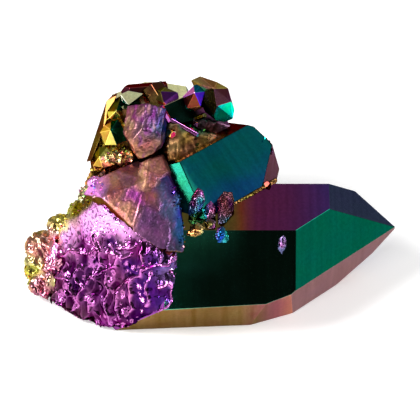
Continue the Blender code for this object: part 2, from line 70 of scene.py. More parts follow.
# Film colours, as the light that the coated surface sends back: golds and browns, then reds and pinks,
# purples, blues and greens.
FILMS = {
    "straw": (0.80, 0.66, 0.26),
    "gold": (0.60, 0.40, 0.08),
    "bronze": (0.16, 0.085, 0.022),
    "brass": (0.25, 0.17, 0.10),
    "citrine": (0.66, 0.55, 0.11),
    "honey": (0.50, 0.31, 0.07),
    "olive": (0.17, 0.13, 0.03),
    "sage": (0.86, 0.84, 0.47),
    "sand": (0.62, 0.45, 0.22),
    "peach": (0.92, 0.50, 0.22),
    "fawn": (0.44, 0.23, 0.12),
    "umber": (0.10, 0.05, 0.02),
    "hazel": (0.35, 0.185, 0.08),
    "walnut": (0.15, 0.07, 0.02),
    "garnet": (0.13, 0.035, 0.055),
    "bark": (0.085, 0.032, 0.014),
    "russet": (0.17, 0.045, 0.03),
    "mulberry": (0.088, 0.032, 0.059),
    "crimson": (0.20, 0.02, 0.05),
    "oxblood": (0.07, 0.012, 0.024),
    "wine": (0.095, 0.018, 0.085),
    "cream": (0.98, 0.78, 0.50),
    "blush": (1.0, 0.40, 0.92),
    "coral": (0.66, 0.24, 0.24),
    "terra": (0.26, 0.085, 0.10),
    "heather": (0.26, 0.10, 0.25),
    "iris": (0.24, 0.14, 0.44),
    "copper": (0.46, 0.15, 0.07),
    "rust": (0.30, 0.07, 0.03),
    "rose": (0.36, 0.15, 0.18),
    "dusk": (0.34, 0.19, 0.20),
    "mauve": (0.50, 0.17, 0.24),
    "tan": (0.56, 0.24, 0.17),
    "maroon": (0.20, 0.03, 0.11),
    "plum": (0.16, 0.03, 0.13),
    "magenta": (0.28, 0.05, 0.24),
    "pink": (0.80, 0.22, 0.70),
    "orchid": (0.24, 0.02, 0.20),
    "grape": (0.105, 0.007, 0.095),
    "amethyst": (0.085, 0.01, 0.20),
    "ink": (0.055, 0.004, 0.085),
    "violet": (0.13, 0.04, 0.26),
    "aubergine": (0.09, 0.045, 0.24),
    "indigo": (0.045, 0.015, 0.11),
    "blue": (0.01, 0.08, 0.38),
    "steel": (0.10, 0.12, 0.25),
    "slate": (0.072, 0.088, 0.16),
    "teal": (0.004, 0.17, 0.19),
    "azure": (0.01, 0.11, 0.34),
    "green": (0.001, 0.077, 0.047),
    "jade": (0.006, 0.72, 0.43),
    "lagoon": (0.03, 0.34, 0.38),
    "moss": (0.08, 0.62, 0.36),
    "fern": (0.035, 0.80, 0.50),
    "spruce": (0.005, 0.085, 0.05),
    "fir": (0.05, 0.22, 0.14),
    "night": (0.045, 0.16, 0.10),
    "bottle": (0.003, 0.055, 0.03),
    "black": (0.003, 0.012, 0.008),
}

# Where each face's film changes along the crystal, from its root to its tip.
LARGE_FILMS = {
    "side 0": ((-12.0, "moss"), (-6.0, "fir"), (2.0, "night"), (14.0, "night")),
    "side 2": ((-20.0, "teal"), (20.0, "violet")),
    "side 3": ((-20.0, "violet"), (20.0, "blue")),
    "side 4": ((-20.0, "teal"), (0.0, "blue"), (20.0, "violet")),
    "side 5": ((0.0, "olive"), (2.2, "rust"), (4.5, "maroon"), (12.0, "plum"), (20.0, "aubergine")),
    "under front": ((-20.0, "brass"), (2.0, "brass"), (9.0, "rose")),
    "steep": ((5.0, "brass"), (9.0, "rose"), (13.0, "tan")),
    "tip 0": ((12.0, "green"), (33.0, "green")),
    "tip 1": ((12.0, "dusk"), (33.0, "dusk")),
    "tip 2": ((12.0, "copper"), (33.0, "rose")),
    "tip 3": ((12.0, "magenta"), (33.0, "violet")),
    "tip 4": ((12.0, "blue"), (33.0, "teal")),
    "tip 5": ((12.0, "slate"), (33.0, "slate")),
    "break": ((-30.0, "magenta"), (0.0, "violet")),
    "root": ((-30.0, "magenta"), (0.0, "violet")),
}
# On the broad front face the film turns mossier towards the second point: over the whole height that the
# break shades, and again along the upper edge.  Each pair says where the change starts and where it ends.
MOSSY_HEIGHTS = (16.0, 20.5)
MOSSY_LENGTHS = (3.0, -6.0)
MOSSY_SHARE = 0.6
EDGE_HEIGHTS = (20.5, 23.8)
EDGE_LENGTHS = (3.0, -3.0)
FRONT_SHARE = 0.7
# A facet that looks less squarely the way of its crystal face than this belongs to a worn edge, where the
# film sends back another share of the light.
SQUARE_ON = 0.9995
LARGE_EDGE_SHARE = 1.2

# Cutting: the block that a crystal is cut from, and how close points come before they count as one.
BLOCK_SIZE = 200.0
SNAP = 1e-5
WELD = 1e-4

# The coating: its hue and gloss drift over several millimetres, and its brightness over half a millimetre.
CLOUDS_PER_METRE = 210.0
SPECKLES_PER_METRE = 1900.0
SPECKLE_DEPTH = 0.004
MOST_OF_NOISE = (0.3, 0.7)
NEARLY_ALL_NOISE = (0.25, 0.75)
BRIGHTNESS = (0.88, 1.12)
PLAIN_HUE = 0.5
GLOSSIEST = 0.6
DULLEST = 1.5
# Growth lines run across a crystal.
LINE_WIDTH = 0.9
LINE_LENGTH = 30.0
LINE_DEPTH = 0.012


def direction(vector):
    return Vector(vector).normalized()


def crystal_planes(tip, axis, first_side, sides, tip_gaps, length):
    """The named faces of a quartz point: six along the axis, six at the tip, and one across the root."""
    axis = direction(axis)
    first_side = Vector(first_side)
    first_side = (first_side - axis * axis.dot(first_side)).normalized()
    planes = [("root", tip - axis * length, -axis)]
    for k, (distance, gap) in enumerate(zip(sides, tip_gaps)):
        side = Matrix.Rotation(k * PRISM_STEP, 3, axis) @ first_side
        planes.append((f"side {k}", tip + side * distance, side))
        slope = (axis * TIP_ALONG + side * TIP_OUT).normalized()
        planes.append((f"tip {k}", tip + slope * gap, slope))
    return planes


def cut_block(planes):
    """A cube cut down by the planes, each a name, a point on the face and the way that the face looks."""
    bm = bmesh.new()
    bmesh.ops.create_cube(bm, size=BLOCK_SIZE)
    for _, point, normal in planes:
        geometry = bm.verts[:] + bm.edges[:] + bm.faces[:]
        bmesh.ops.bisect_plane(
            bm, geom=geometry, dist=SNAP, plane_co=point, plane_no=normal, clear_outer=True
        )
        open_edges = [edge for edge in bm.edges if edge.is_boundary]
        if open_edges:
            bmesh.ops.holes_fill(bm, edges=open_edges, sides=0)
    bmesh.ops.remove_doubles(bm, verts=bm.verts, dist=WELD)
    return bm


def worn_edges(bm, width):
    """Narrow flats along the edges between faces: a coated crystal never has a perfectly sharp edge."""
    bmesh.ops.bevel(
        bm, geom=bm.edges[:], offset=width, segments=2, profile=0.5, affect="EDGES", clamp_overlap=True
    )
    bmesh.ops.remove_doubles(bm, verts=bm.verts, dist=WELD * 10)


def score(bm, spacing):
    """Divides the faces by level cuts along all three axes, so that their colour can drift across them."""
    for axis in range(3):
        places = [vertex.co[axis] for vertex in bm.verts]
        place = min(places) + spacing
        while place < max(places):
            point = Vector((0, 0, 0))
            normal = Vector((0, 0, 0))
            point[axis] = place
            normal[axis] = 1.0
            geometry = bm.verts[:] + bm.edges[:] + bm.faces[:]
            bmesh.ops.bisect_plane(bm, geom=geometry, dist=WELD, plane_co=point, plane_no=normal)
            place += spacing


def placed(name, data):
    """Puts a new object with this data in the scene."""
    item = bpy.data.objects.new(name, data)
    bpy.context.scene.collection.objects.link(item)
    return item


def object_from(bm, name):
    """Turns a mesh worked out in millimetres into an object in metres."""
    bmesh.ops.scale(bm, vec=(MM, MM, MM), verts=bm.verts)
    bmesh.ops.recalc_face_normals(bm, faces=bm.faces)
    mesh = bpy.data.meshes.new(name)
    bm.to_mesh(mesh)
    bm.free()
    return placed(name, mesh)


def ramp(value, start, end):
    """0 up to the start, 1 from the end on, and straight between."""
    return min(max((value - start) / (end - start), 0.0), 1.0)


def film(name):
    return Vector(FILMS[name])


def between(stops, place):
    """The film colour at a place along a row of (place, film name) stops."""
    if place <= stops[0][0]:
        return film(stops[0][1])
    for (start, first), (end, second) in zip(stops, stops[1:]):
        if place <= end:
            return film(first).lerp(film(second), (place - start) / (end - start))
    return film(stops[-1][1])


def nearest_face(planes, normal):
    """Name of the crystal face that looks most nearly this way, and whether it looks this way squarely."""
    name, _, facing = max(planes, key=lambda plane: plane[2].dot(normal))
    return name, facing.dot(normal) > SQUARE_ON


def coat(piece, colours, domain="CORNER"):
    """Writes the film's colours on a piece, one for each corner of its faces or one for each point."""
    channels = [channel for colour in colours for channel in (*colour, 1.0)]
    piece.data.attributes.new("film", "FLOAT_COLOR", domain).data.foreach_set("color", channels)


def coat_by_face(piece, film_at):
    """Coats a crystal.  film_at gives the colour for the way that a face looks and the place of a corner."""
    mesh = piece.data
    colours = []
    for face in mesh.polygons:
        for corner in face.loop_indices:
            place = mesh.vertices[mesh.loops[corner].vertex_index].co / MM
            colours.append(film_at(face.normal, place))
    coat(piece, colours)


def add_node(tree, kind, sockets, output=None, **settings):
    """Adds a node and gives its output of this name, or its first one.  Each socket, by its name or number,
    takes a plain value or is joined to another node's output."""
    node = tree.nodes.new(kind)
    for name, setting in settings.items():
        setattr(node, name, setting)
    in_use = {socket.name: socket for socket in node.inputs if socket.enabled}
    for name, value in sockets.items():
        socket = node.inputs[name] if isinstance(name, int) else in_use[name]
        if isinstance(value, bpy.types.NodeSocket):
            tree.links.new(value, socket)
        else:
            socket.default_value = value
    return node.outputs[output] if output else next(found for found in node.outputs if found.enabled)


def times(tree, value, factor):
    return add_node(tree, "ShaderNodeMath", {0: value, 1: factor}, operation="MULTIPLY")


def carried(tree, value, old, new, **settings):
    """Carries a value over from an old range to a new one."""
    sockets = {"Value": value, "From Min": old[0], "From Max": old[1], "To Min": new[0], "To Max": new[1]}
    return add_node(tree, "ShaderNodeMapRange", sockets, **settings)


def coated_quartz(name, rough, drift=0.05, lines=None, grit=0.0, grit_size=0.4):
    """Quartz under a titanium film, which reflects like metal.  The film's hue drifts by this share from
    place to place.  lines is how far the crystal is turned about the upright axis, for growth lines across
    it.  grit and grit_size are the depth and the size of a fine glittering grain, in millimetres."""
    material = bpy.data.materials.new(name)
    material.use_nodes = True
    tree = material.node_tree
    shader = tree.nodes["Principled BSDF"].inputs
    shader["Metallic"].default_value = 1.0
    place = add_node(tree, "ShaderNodeTexCoord", {}, "Object")
    cloud = add_node(
        tree, "ShaderNodeTexNoise", {"Vector": place, "Scale": CLOUDS_PER_METRE, "Detail": 5.0}
    )
    speckle = add_node(
        tree, "ShaderNodeTexNoise", {"Vector": place, "Scale": SPECKLES_PER_METRE, "Detail": 3.0}
    )
    brightness = carried(tree, speckle, MOST_OF_NOISE, BRIGHTNESS)
    normal = add_node(tree, "ShaderNodeBump", {"Height": speckle, "Distance": SPECKLE_DEPTH * MM})
    if lines is not None:
        line_size = (LINE_WIDTH * MM, LINE_LENGTH * MM, LINE_LENGTH * MM)
        turned = {"Vector": place, "Rotation": (0.0, 0.0, lines), "Scale": line_size}
        along = add_node(tree, "ShaderNodeMapping", turned, vector_type="TEXTURE")
        growth = add_node(tree, "ShaderNodeTexNoise", {"Vector": along, "Scale": 1.0, "Detail": 4.0})
        ribs = {"Height": growth, "Distance": LINE_DEPTH * MM, "Normal": normal}
        normal = add_node(tree, "ShaderNodeBump", ribs)
        brightness = times(tree, brightness, carried(tree, growth, MOST_OF_NOISE, BRIGHTNESS))
    if grit:
        grains = add_node(tree, "ShaderNodeTexVoronoi", {"Vector": place, "Scale": 1.0 / (grit_size * MM)})
        gritty = add_node(tree, "ShaderNodeAttribute", {}, "Fac", attribute_name="grit")
        pits = {"Height": grains, "Distance": grit * MM, "Strength": gritty, "Normal": normal}
        normal = add_node(tree, "ShaderNodeBump", pits)
    painted = add_node(tree, "ShaderNodeAttribute", {}, "Color", attribute_name="film")
    hue = carried(tree, cloud, MOST_OF_NOISE, (PLAIN_HUE - drift, PLAIN_HUE + drift))
    tint = add_node(tree, "ShaderNodeHueSaturation", {"Hue": hue, "Value": brightness, "Color": painted})
    paler = add_node(tree, "ShaderNodeGamma", {"Color": tint, "Gamma": 0.5})
    gloss = carried(tree, cloud, NEARLY_ALL_NOISE, (rough * GLOSSIEST, rough * DULLEST))
    looks = {"Base Color": tint, "Specular Tint": paler, "Roughness": gloss, "Normal": normal}
    for socket, value in looks.items():
        tree.links.new(value, shader[socket])
    return material


def finish_piece(piece, material, smooth_under=None):
    """Gives a piece its coating and says what it is part of."""
    piece.data.materials.clear()
    piece.data.materials.append(material)
    if smooth_under is not None:
        piece.data.shade_smooth()
        piece.data.set_sharp_from_angle(angle=radians(smooth_under))
    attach(piece, "root")
    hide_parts("quartz_cluster")


def grow_crystal(name, planes, wear, cuts, film_at, coating):
    """Makes a whole crystal from its faces, with worn edges, and coats it."""
    crystal_mesh = cut_block(planes)
    worn_edges(crystal_mesh, wear)
    score(crystal_mesh, cuts)
    crystal = object_from(crystal_mesh, name)
    coat_by_face(crystal, film_at)
    finish_piece(crystal, coating)


def large_film(normal, place):
    name, squarely = nearest_face(large_planes, normal)
    if name == "side 1":
        name = "under front"
    colour = between(LARGE_FILMS[name], place.x)
    if name == "side 0":
        glow = ramp(place.z, *MOSSY_HEIGHTS) * ramp(place.x, *MOSSY_LENGTHS)
        edge_glow = ramp(place.z, *EDGE_HEIGHTS) * ramp(place.x, *EDGE_LENGTHS)
        colour = colour * FRONT_SHARE + film("moss") * (glow * MOSSY_SHARE + edge_glow)
    return colour * (1.0 if squarely else LARGE_EDGE_SHARE)


large_front = (0.0, -cos(LARGE_FRONT_LEAN), sin(LARGE_FRONT_LEAN))
large_planes = crystal_planes(LARGE_TIP, (1, 0, 0), large_front, LARGE_SIDES, LARGE_TIP_GAPS, LARGE_LENGTH)
large_planes.extend((name, Vector(corner), direction(facing)) for name, corner, facing in LARGE_EXTRA_FACES)
large_coating = coated_quartz("film_on_large_point", rough=0.10, drift=0.012, lines=0.0)
grow_crystal("large_point", large_planes, LARGE_WEAR, LARGE_CUTS, large_film, large_coating)


# The second point: a shorter prism that crosses over the large one and ends in the maroon rim of a broken
# tip.  The same coated quartz, intergrown with the large point along its underside.

SECOND_TIP = Vector((10.2, 22.9, 14.4))
# How far it is turned about the upright axis, and how high its broad face looks.
SECOND_SWING = radians(39.0)
SECOND_LEAN = radians(60.0)
SECOND_LENGTH = 33.0
SECOND_SIDES = (14.03, 10.8, 7.9, 8.1, 11.3, 14.3)
SECOND_TIP_GAPS = (7.1, 0.0, 0.0, 0.0, 0.0, 6.1)
SECOND_END = Vector((0.679, 0.602, 0.420))
SECOND_WEAR = 0.15
SECOND_CUTS = 1.2
# The small bevel at the root looks out of the broad face, back along the crystal and a little across it.
SECOND_BEVEL_AT = 27.2
SECOND_BEVEL_OUT = 0.85
SECOND_BEVEL_BACK = 0.60
SECOND_BEVEL_ACROSS = 0.12
SECOND_FILMS = {
    "side 0": ((6.2, "fern"), (7.4, "teal"), (20.0, "teal")),
    # The upper face, side 5, is painted cream at its root end: painted light, brighter film where the rock
    # beside it shades that end.
    "side 5": ((10.0, "cream"), (16.0, "sand"), (20.0, "umber"), (33.0, "bark")),
    "side 4": ((8.0, "magenta"), (20.0, "gold")),
    "side 3": ((8.0, "blue"), (20.0, "violet")),
    "side 2": ((8.0, "gold"), (20.0, "magenta")),
    "side 1": ((8.0, "gold"), (20.0, "olive")),
    "tip 0": ((0.0, "oxblood"), (30.0, "oxblood")),
    "bevel": ((0.0, "spruce"), (30.0, "spruce")),
    "end": ((0.0, "maroon"), (30.0, "maroon")),
}
SECOND_EDGE_SHARE = 0.6
# The broad face turns azure towards its lower edge, away from its root, and a darker bar crosses it.
AZURE_HEIGHTS = (27.6, 25.2)
AZURE_LENGTHS = (6.2, 7.8)
BAR_AT = 14.0
BAR_WIDTH = 1.6
BAR_SHARE = 0.25


def second_film(normal, place):
    name, squarely = nearest_face(second_planes, normal)
    along = SECOND_LENGTH + (place - SECOND_TIP).dot(second_axis)
    colour = between(SECOND_FILMS.get(name, SECOND_FILMS["tip 0"]), along)
    if name == "side 0":
        colour = colour.lerp(film("azure"), ramp(place.z, *AZURE_HEIGHTS) * ramp(along, *AZURE_LENGTHS))
        colour = colour * (1.0 - BAR_SHARE * exp(-(((along - BAR_AT) / BAR_WIDTH) ** 2)))
    return colour * (1.0 if squarely else SECOND_EDGE_SHARE)


second_axis = Vector((cos(SECOND_SWING), sin(SECOND_SWING), 0.0))
second_across = Vector((sin(SECOND_SWING), -cos(SECOND_SWING), 0.0))
second_broad = second_across * cos(SECOND_LEAN) + Vector((0, 0, sin(SECOND_LEAN)))
second_planes = crystal_planes(
    SECOND_TIP, second_axis, second_broad, SECOND_SIDES, SECOND_TIP_GAPS, SECOND_LENGTH
)
second_planes.append(("end", SECOND_TIP, SECOND_END.normalized()))
second_corner = SECOND_TIP - second_axis * SECOND_BEVEL_AT + second_broad * SECOND_SIDES[0]
bevel_facing = direction(
    second_broad * SECOND_BEVEL_OUT - second_axis * SECOND_BEVEL_BACK - second_across * SECOND_BEVEL_ACROSS
)
second_planes.append(("bevel", second_corner, bevel_facing))
second_coating = coated_quartz("film_on_second_point", rough=0.16, drift=0.03, lines=SECOND_SWING)
grow_crystal("second_point", second_planes, SECOND_WEAR, SECOND_CUTS, second_film, second_coating)


# The third crystal: stubby and upright, behind the broken base, with a flat sage-green top.
# Coated quartz, grown up from the same root as the other two.

THIRD_TIP = Vector((-12.6, 21.0, 45.0))
THIRD_AXIS = (0.242, 0.165, 0.956)
THIRD_LEFT_FACE = (-1, -0.2, 0)
THIRD_SIDES = (7.6, 7.4, 7.9, 7.2, 7.6, 7.8)
THIRD_TIP_GAPS = (0.0, 0.8, 0.0, 0.6, 0.0, 0.5)
THIRD_LENGTH = 40.0
THIRD_TOP = ("top", Vector((-20.0, 20.0, 36.2)), direction((-0.10, 0.35, 0.93)))
THIRD_WEAR = 0.12
THIRD_CUTS = 2.0
THIRD_FILMS = {
    "top": ((0.0, "sage"), (1.0, "sage")),
    "side 0": ((14.0, "bark"), (34.0, "umber")),
    "side 1": ((14.0, "umber"), (34.0, "bark")),
    "side 2": ((14.0, "bark"), (34.0, "black")),
    "side 3": ((14.0, "magenta"), (34.0, "gold")),
    "side 4": ((14.0, "teal"), (34.0, "blue")),
    "side 5": ((14.0, "blue"), (34.0, "gold")),
}
THIRD_EDGE_SHARE = 0.7


def third_film(normal, place):
    name, squarely = nearest_face(third_planes, normal)
    colour = between(THIRD_FILMS.get(name, THIRD_FILMS["side 2"]), place.z)
    return colour * (1.0 if squarely else THIRD_EDGE_SHARE)


third_planes = crystal_planes(
    THIRD_TIP, THIRD_AXIS, THIRD_LEFT_FACE, THIRD_SIDES, THIRD_TIP_GAPS, THIRD_LENGTH
)
third_planes.append(THIRD_TOP)
third_coating = coated_quartz("film_on_third_crystal", rough=0.18, drift=0.03, lines=0.0)
grow_crystal("third_crystal", third_planes, THIRD_WEAR, THIRD_CUTS, third_film, third_coating)


# The fresh break: the broken root of the cluster, where it was snapped off its matrix.  Quartz breaks like
# glass, in shell-shaped hollows with sharp ridges between, so the film on it glitters pink, violet and blue.
# Its glints are partly painted: pink painted highlights on crests, ribs and leaning chips, brighter paint
# where chips face the key and in the band, and painted shade in the hollows.

# Corners of the block that the hollows and ridges are worked into.
BREAK_BLOCK = (
    (-9.8, -8.4, 20.7), (-13.8, -9.0, 21.9), (-19.2, -6.4, 24.4), (-25.0, -2.2, 28.1), (-34.2, 4.2, 16.4),
    (-11.0, -12.4, 14.4), (-12.0, -14.5, 10.7), (-16.2, -13.2, 8.0), (-20.8, -11.2, 1.6),
    (-26.0, -9.6, 0.6), (-31.0, -7.5, 1.0), (-36.6, -4.2, 2.4), (-24.0, -7.6, 13.3), (-7.5, -4.0, 14.0),
    (-8.5, -6.0, 6.0), (-9.0, 12.0, 3.0), (-9.0, 12.0, 22.0), (-25.0, 14.0, 27.0), (-33.0, 17.0, 3.0),
    (-37.5, 10.0, 4.0),
)
BREAK_VOXEL = 0.2
# Nothing is worked down to less than this above the table.
LOWEST = 0.25
# A place's distance up the break's slope grows with its height and with its depth.
SLOPE_PER_HEIGHT = 0.734
SLOPE_PER_DEPTH = 0.679

# The sharp ridges that part the hollows, each as places along the cluster and up the break's slope.
BREAK_RIDGES = (
    ((-22.6, 10.3), (-20.4, 9.9), (-18.8, 10.6)),
    ((-28.8, 2.8), (-27.4, 4.3), (-24.6, 5.5), (-22.8, 6.8), (-21.8, 8.4)),
    ((-22.9, 1.5), (-20.2, 4.0), (-18.2, 4.5), (-16.4, 6.0), (-14.1, 6.8), (-13.1, 8.3)),
    ((-17.8, 9.4), (-17.0, 7.6), (-17.8, 5.0)),
    ((-19.6, 4.2), (-19.9, 1.0), (-19.5, -1.5), (-20.1, -2.8)),
    ((-24.9, 4.6), (-24.6, 0.8), (-24.8, -2.0), (-24.2, -5.0)),
    ((-28.0, 0.4), (-28.2, -2.6)),
    ((-14.2, 2.4), (-12.4, 3.3), (-11.3, 2.7), (-11.4, 0.2), (-12.6, -1.7), (-14.4, -2.0)),
    ((-22.4, 1.0), (-22.6, -1.6), (-22.2, -4.0)),
    ((-27.6, 12.4), (-26.8, 10.4), (-25.6, 9.4), (-25.8, 7.2)),
    ((-33.8, 8.4), (-31.0, 9.6), (-28.4, 9.0), (-26.6, 10.0)),
    ((-31.0, 5.2), (-29.6, 2.0), (-30.4, -0.4)),
    ((-16.9, 3.9), (-16.3, 1.2), (-16.8, -1.6)),
    ((-13.9, 6.6), (-12.2, 7.0), (-10.8, 8.6)),
    ((-23.6, 9.0), (-21.4, 8.2), (-19.8, 8.8)),
    ((-34.8, 4.6), (-32.2, 3.2), (-31.2, 0.6)),
)
# How high a ridge stands and how far its foot reaches, then the width of its sharp crest and the crest's
# part of the height.
RIDGE_HEIGHT = 0.75
RIDGE_REACH = 1.3
CREST_WIDTH = 0.22
CREST_PART = 0.35
FAR_OFF = 100.0
# Ridges and glints stop on the side that looks away, and glints where the left end's knob begins.
FRONT_DEPTH = 3.0
KNOB_LENGTH = -36.0

# The break has a band of bright chips under the ledge, which drops at its left end and stops at a slanting
# line near the slabs.  Below it the left part is crumbled, and the right part is glassy.  Each pair says
# where a change starts and where it ends.
BAND_RISE = (11.8, 13.8)
BAND_DROP = 3.0
BAND_DROP_LENGTHS = (-32.0, -35.5)
BAND_SLANT = 0.95
BAND_STOP = -6.0
GLASSY_LENGTHS = (-23.5, -19.5)

# Hollows: their size and depth on the crumbled part, on the glassy part and in the band.  They are drawn out
# up the break.  Their outlines wander, and so do those of the ridges, the chips and the hackle.
HOLLOW_SIZE = 2.3
WIDE_HOLLOW_SIZE = 3.6
HOLLOW_DEPTH = 0.55
WIDE_HOLLOW_DEPTH = 0.35
BAND_HOLLOW_DEPTH = 0.18
HOLLOW_STRETCH = (1.0, 1.0, 0.4)
SKIN_DEPTH = 0.45
WANDER_SIZE = 2.6
RIDGE_WANDER = 0.8
HOLLOW_WANDER = 0.7
CHIP_WANDER = 0.4
HACKLE_WANDER = 0.5
# Hackle: fine streaks that run down the break.
HACKLE_STRETCH = (2.2, 2.2, 0.3)
HACKLE_DEPTH = 0.08
# Chips: tiny flat facets, each tilted its own way.  A share of them lean up to the light together: more
# where the break sparkles, and most in the band.
CHIP_SIZE = 0.85
CHIP_DEPTH = 0.07
SPARKLING_CHIP_DEPTH = 0.05
LEANING_CHIP_DEPTH = 0.30
BAND_CHIP_LOSS = 0.7
SPARKLE_SIZE = 2.0
SPARKLE_SHIFT = Vector((3.0, 7.0, 1.0))
SPARKLE_NOISE = (0.05, 0.35)
LEANING = 0.03
LEANING_SPARKLE = 0.10
LEANING_CRUMBLED = 0.30
UPWARD = Vector((0.4, -0.1, 1.5))
LIT_SLOPE = direction((0.5, 0.3, -0.8))
LEANING_TILT = 0.6
# These only shuffle the chips, so that a chip's tilt says nothing about whether it leans.
TILT_SHUFFLE = 13.7
LEAN_SHUFFLE = 7.1
LEAN_SHIFT = Vector((5.0, 1.0, 9.0))
# The film's brightness below the band and in the band, which is painted brighter; the painted light that
# chips facing the key add to it, and what hackle adds; and the painted shade that the hollows take away.
SHADE = 0.46
CHIP_PAINTED_LIGHT = 0.25
HACKLE_SHADE = 0.3
BAND_SHADE = 0.9
BAND_PAINTED_LIGHT = 0.4
HOLLOW_PAINTED_SHADE = 0.65
WIDE_HOLLOW_SHARE = 0.7
# How pink the painted highlights on the crests, the ribs and the leaning chips are, and how gritty
# the surface is.
CREST_GLINT = 0.8
RIB_GLINT = 0.12
RIB_SPARKLE = 0.4
CHIP_GLINT = 0.6
GRIT = 0.06
SPARKLE_GRIT = 0.16
BAND_GRIT = 0.7

# The edge between two hollows, as a share of their size, and a distance too small to divide by.
RIB_WIDTH = 0.16
LEAST_DISTANCE = 1e-6
# How far the edges of the patches of film wander, and how softly one patch passes into the next.
PATCH_WANDER_SIZE = 3.0
PATCH_WANDER = 1.6
PATCH_SOFTNESS = 0.02
PATCH_FALL = 4
# Patches of film on the break: where each is centred, how far it reaches, and its colour.
BREAK_PATCHES = (
    # Blush is partly the band's pale pink film and partly its painted highlight.
    ((-27.0, -2.0, 23.5), 4.0, "blush"),
    ((-21.5, -4.5, 25.0), 3.0, "blush"),
    ((-33.0, 0.4, 16.2), 2.4, "blush"),
    ((-30.6, -2.4, 11.6), 2.2, "grape"),
    ((-34.0, 0.0, 10.0), 2.4, "orchid"),
    ((-28.4, -3.4, 17.0), 2.8, "orchid"),
    ((-24.8, -4.4, 20.4), 1.6, "grape"),
    ((-28.4, -4.2, 13.8), 2.6, "ink"),
    ((-29.2, -5.6, 8.6), 2.8, "ink"),
    ((-32.0, -4.4, 6.3), 2.6, "grape"),
    ((-24.4, -6.3, 15.8), 1.8, "orchid"),
    ((-23.6, -4.9, 19.6), 1.5, "amethyst"),
    ((-19.4, -7.6, 16.5), 2.2, "amethyst"),
    ((-18.4, -7.4, 20.6), 2.0, "orchid"),
    ((-15.2, -8.4, 18.3), 2.2, "amethyst"),
    ((-23.2, -8.0, 11.9), 2.0, "grape"),
    ((-26.0, -8.4, 7.9), 2.2, "grape"),
    ((-16.6, -11.0, 12.5), 2.6, "amethyst"),
    ((-12.6, -12.6, 12.3), 2.2, "amethyst"),
    ((-12.2, -9.9, 17.5), 1.8, "iris"),
    ((-22.0, -10.5, 6.0), 2.0, "grape"),
    ((-24.6, -10.2, 2.6), 2.0, "orchid"),
    ((-18.8, -11.6, 6.6), 2.4, "ink"),
    ((-10.6, -11.0, 16.0), 1.6, "iris"),
    ((-10.8, -13.2, 11.0), 1.6, "teal"),
    ((-28.4, 4.4, 24.4), 3.0, "olive"),
    ((-31.0, 5.0, 20.5), 3.0, "olive"),
    ((-34.0, 5.0, 16.0), 2.8, "straw"),
    ((-37.0, 5.0, 12.6), 2.6, "copper"),
    ((-30.0, 16.0, 12.0), 8.0, "gold"),
    ((-16.0, 12.0, 24.0), 8.0, "mauve"),
)

# Blender seeds this noise from the clock unless it is given a seed.
NOISE_SEED = 7
noise.seed_set(NOISE_SEED)


def add_hull(bm, corners):
    points = [bm.verts.new(corner) for corner in corners]
    hull = bmesh.ops.convex_hull(bm, input=points)
    spare = dict.fromkeys(hull["geom_interior"] + hull["geom_unused"])
    inner = [item for item in spare if isinstance(item, bmesh.types.BMVert)]
    bmesh.ops.delete(bm, geom=inner, context="VERTS")


def joined_hulls(*blocks):
    bm = bmesh.new()
    for corners in blocks:
        add_hull(bm, corners)
    return bm


def baked(piece):
    """Turns a piece and its modifier into a plain mesh, and removes the modifier."""
    depsgraph = bpy.context.evaluated_depsgraph_get()
    piece.data = bpy.data.meshes.new_from_object(piece.evaluated_get(depsgraph))
    piece.modifiers.clear()
    return piece


def stretched(point, shares):
    return Vector([place * share for place, share in zip(point, shares)])


def shells(point, size):
    """Shell-shaped hollows of about this size.  Gives how deep the place is, from 0 on the ridges between
    them to 1, and how near it is to a ridge."""
    nearest, second = noise.voronoi(point / size)[0][:2]
    return 1.0 - (nearest / max(second, LEAST_DISTANCE)) ** 2, 1.0 - ramp(second - nearest, 0.0, RIB_WIDTH)


def patch_film(patches, point):
    """Blends the patches of film that reach a point, the nearest most."""
    total = 0.0
    colour = Vector((0.0, 0.0, 0.0))
    warped = point + noise.noise_vector(point / PATCH_WANDER_SIZE) * PATCH_WANDER
    for centre, reach, name in patches:
        apart = (warped - Vector(centre)).length / reach
        weight = 1.0 / (PATCH_SOFTNESS + apart ** PATCH_FALL)
        colour += film(name) * weight
        total += weight
    return colour / total


def work_surface(piece, surface_at):
    """Sinks every point along its normal and coats it.  surface_at gives, for a place and the way it looks,
    the depth in millimetres, the film's colour and how gritty the surface is."""
    mesh = piece.data
    places = []
    colours = []
    grits = []
    for vertex in mesh.vertices:
        point = vertex.co / MM
        depth, colour, grittiness = surface_at(point, vertex.normal)
        place = point - vertex.normal * depth
        place.z = max(place.z, LOWEST)
        places.extend(place * MM)
        colours.append(colour)
        grits.append(grittiness)
    mesh.vertices.foreach_set("co", places)
    coat(piece, colours, "POINT")
    mesh.attributes.new("grit", "FLOAT", "POINT").data.foreach_set("value", grits)
    mesh.update()


def rough_piece(bm, name, voxel, surface_at, coating, smooth_under):
    """Joins a piece's blocks in one skin with a grain of this size, works its surface and coats it."""
    piece = object_from(bm, name)
    modifier = piece.modifiers.new("voxels", "REMESH")
    modifier.mode = "VOXEL"
    modifier.voxel_size = voxel * MM
    work_surface(baked(piece), surface_at)
    finish_piece(piece, coating, smooth_under)


def facets(point, size, leaning):
    """Flat chips of about this size, each tilted its own way, this share of them about a common lean.  Gives
    the height in millimetres, the way that the chip slopes, and whether it leans."""
    centre = noise.voronoi(point / size)[1][0]
    slope = noise.cell_vector(centre * TILT_SHUFFLE) * 2.0 - Vector((1.0, 1.0, 1.0))
    leans = noise.cell_vector(centre * LEAN_SHUFFLE + LEAN_SHIFT).x < leaning
    if leans:
        slope = slope * LEANING_TILT + UPWARD
    return (point / size - centre).dot(slope) * size, slope, leans


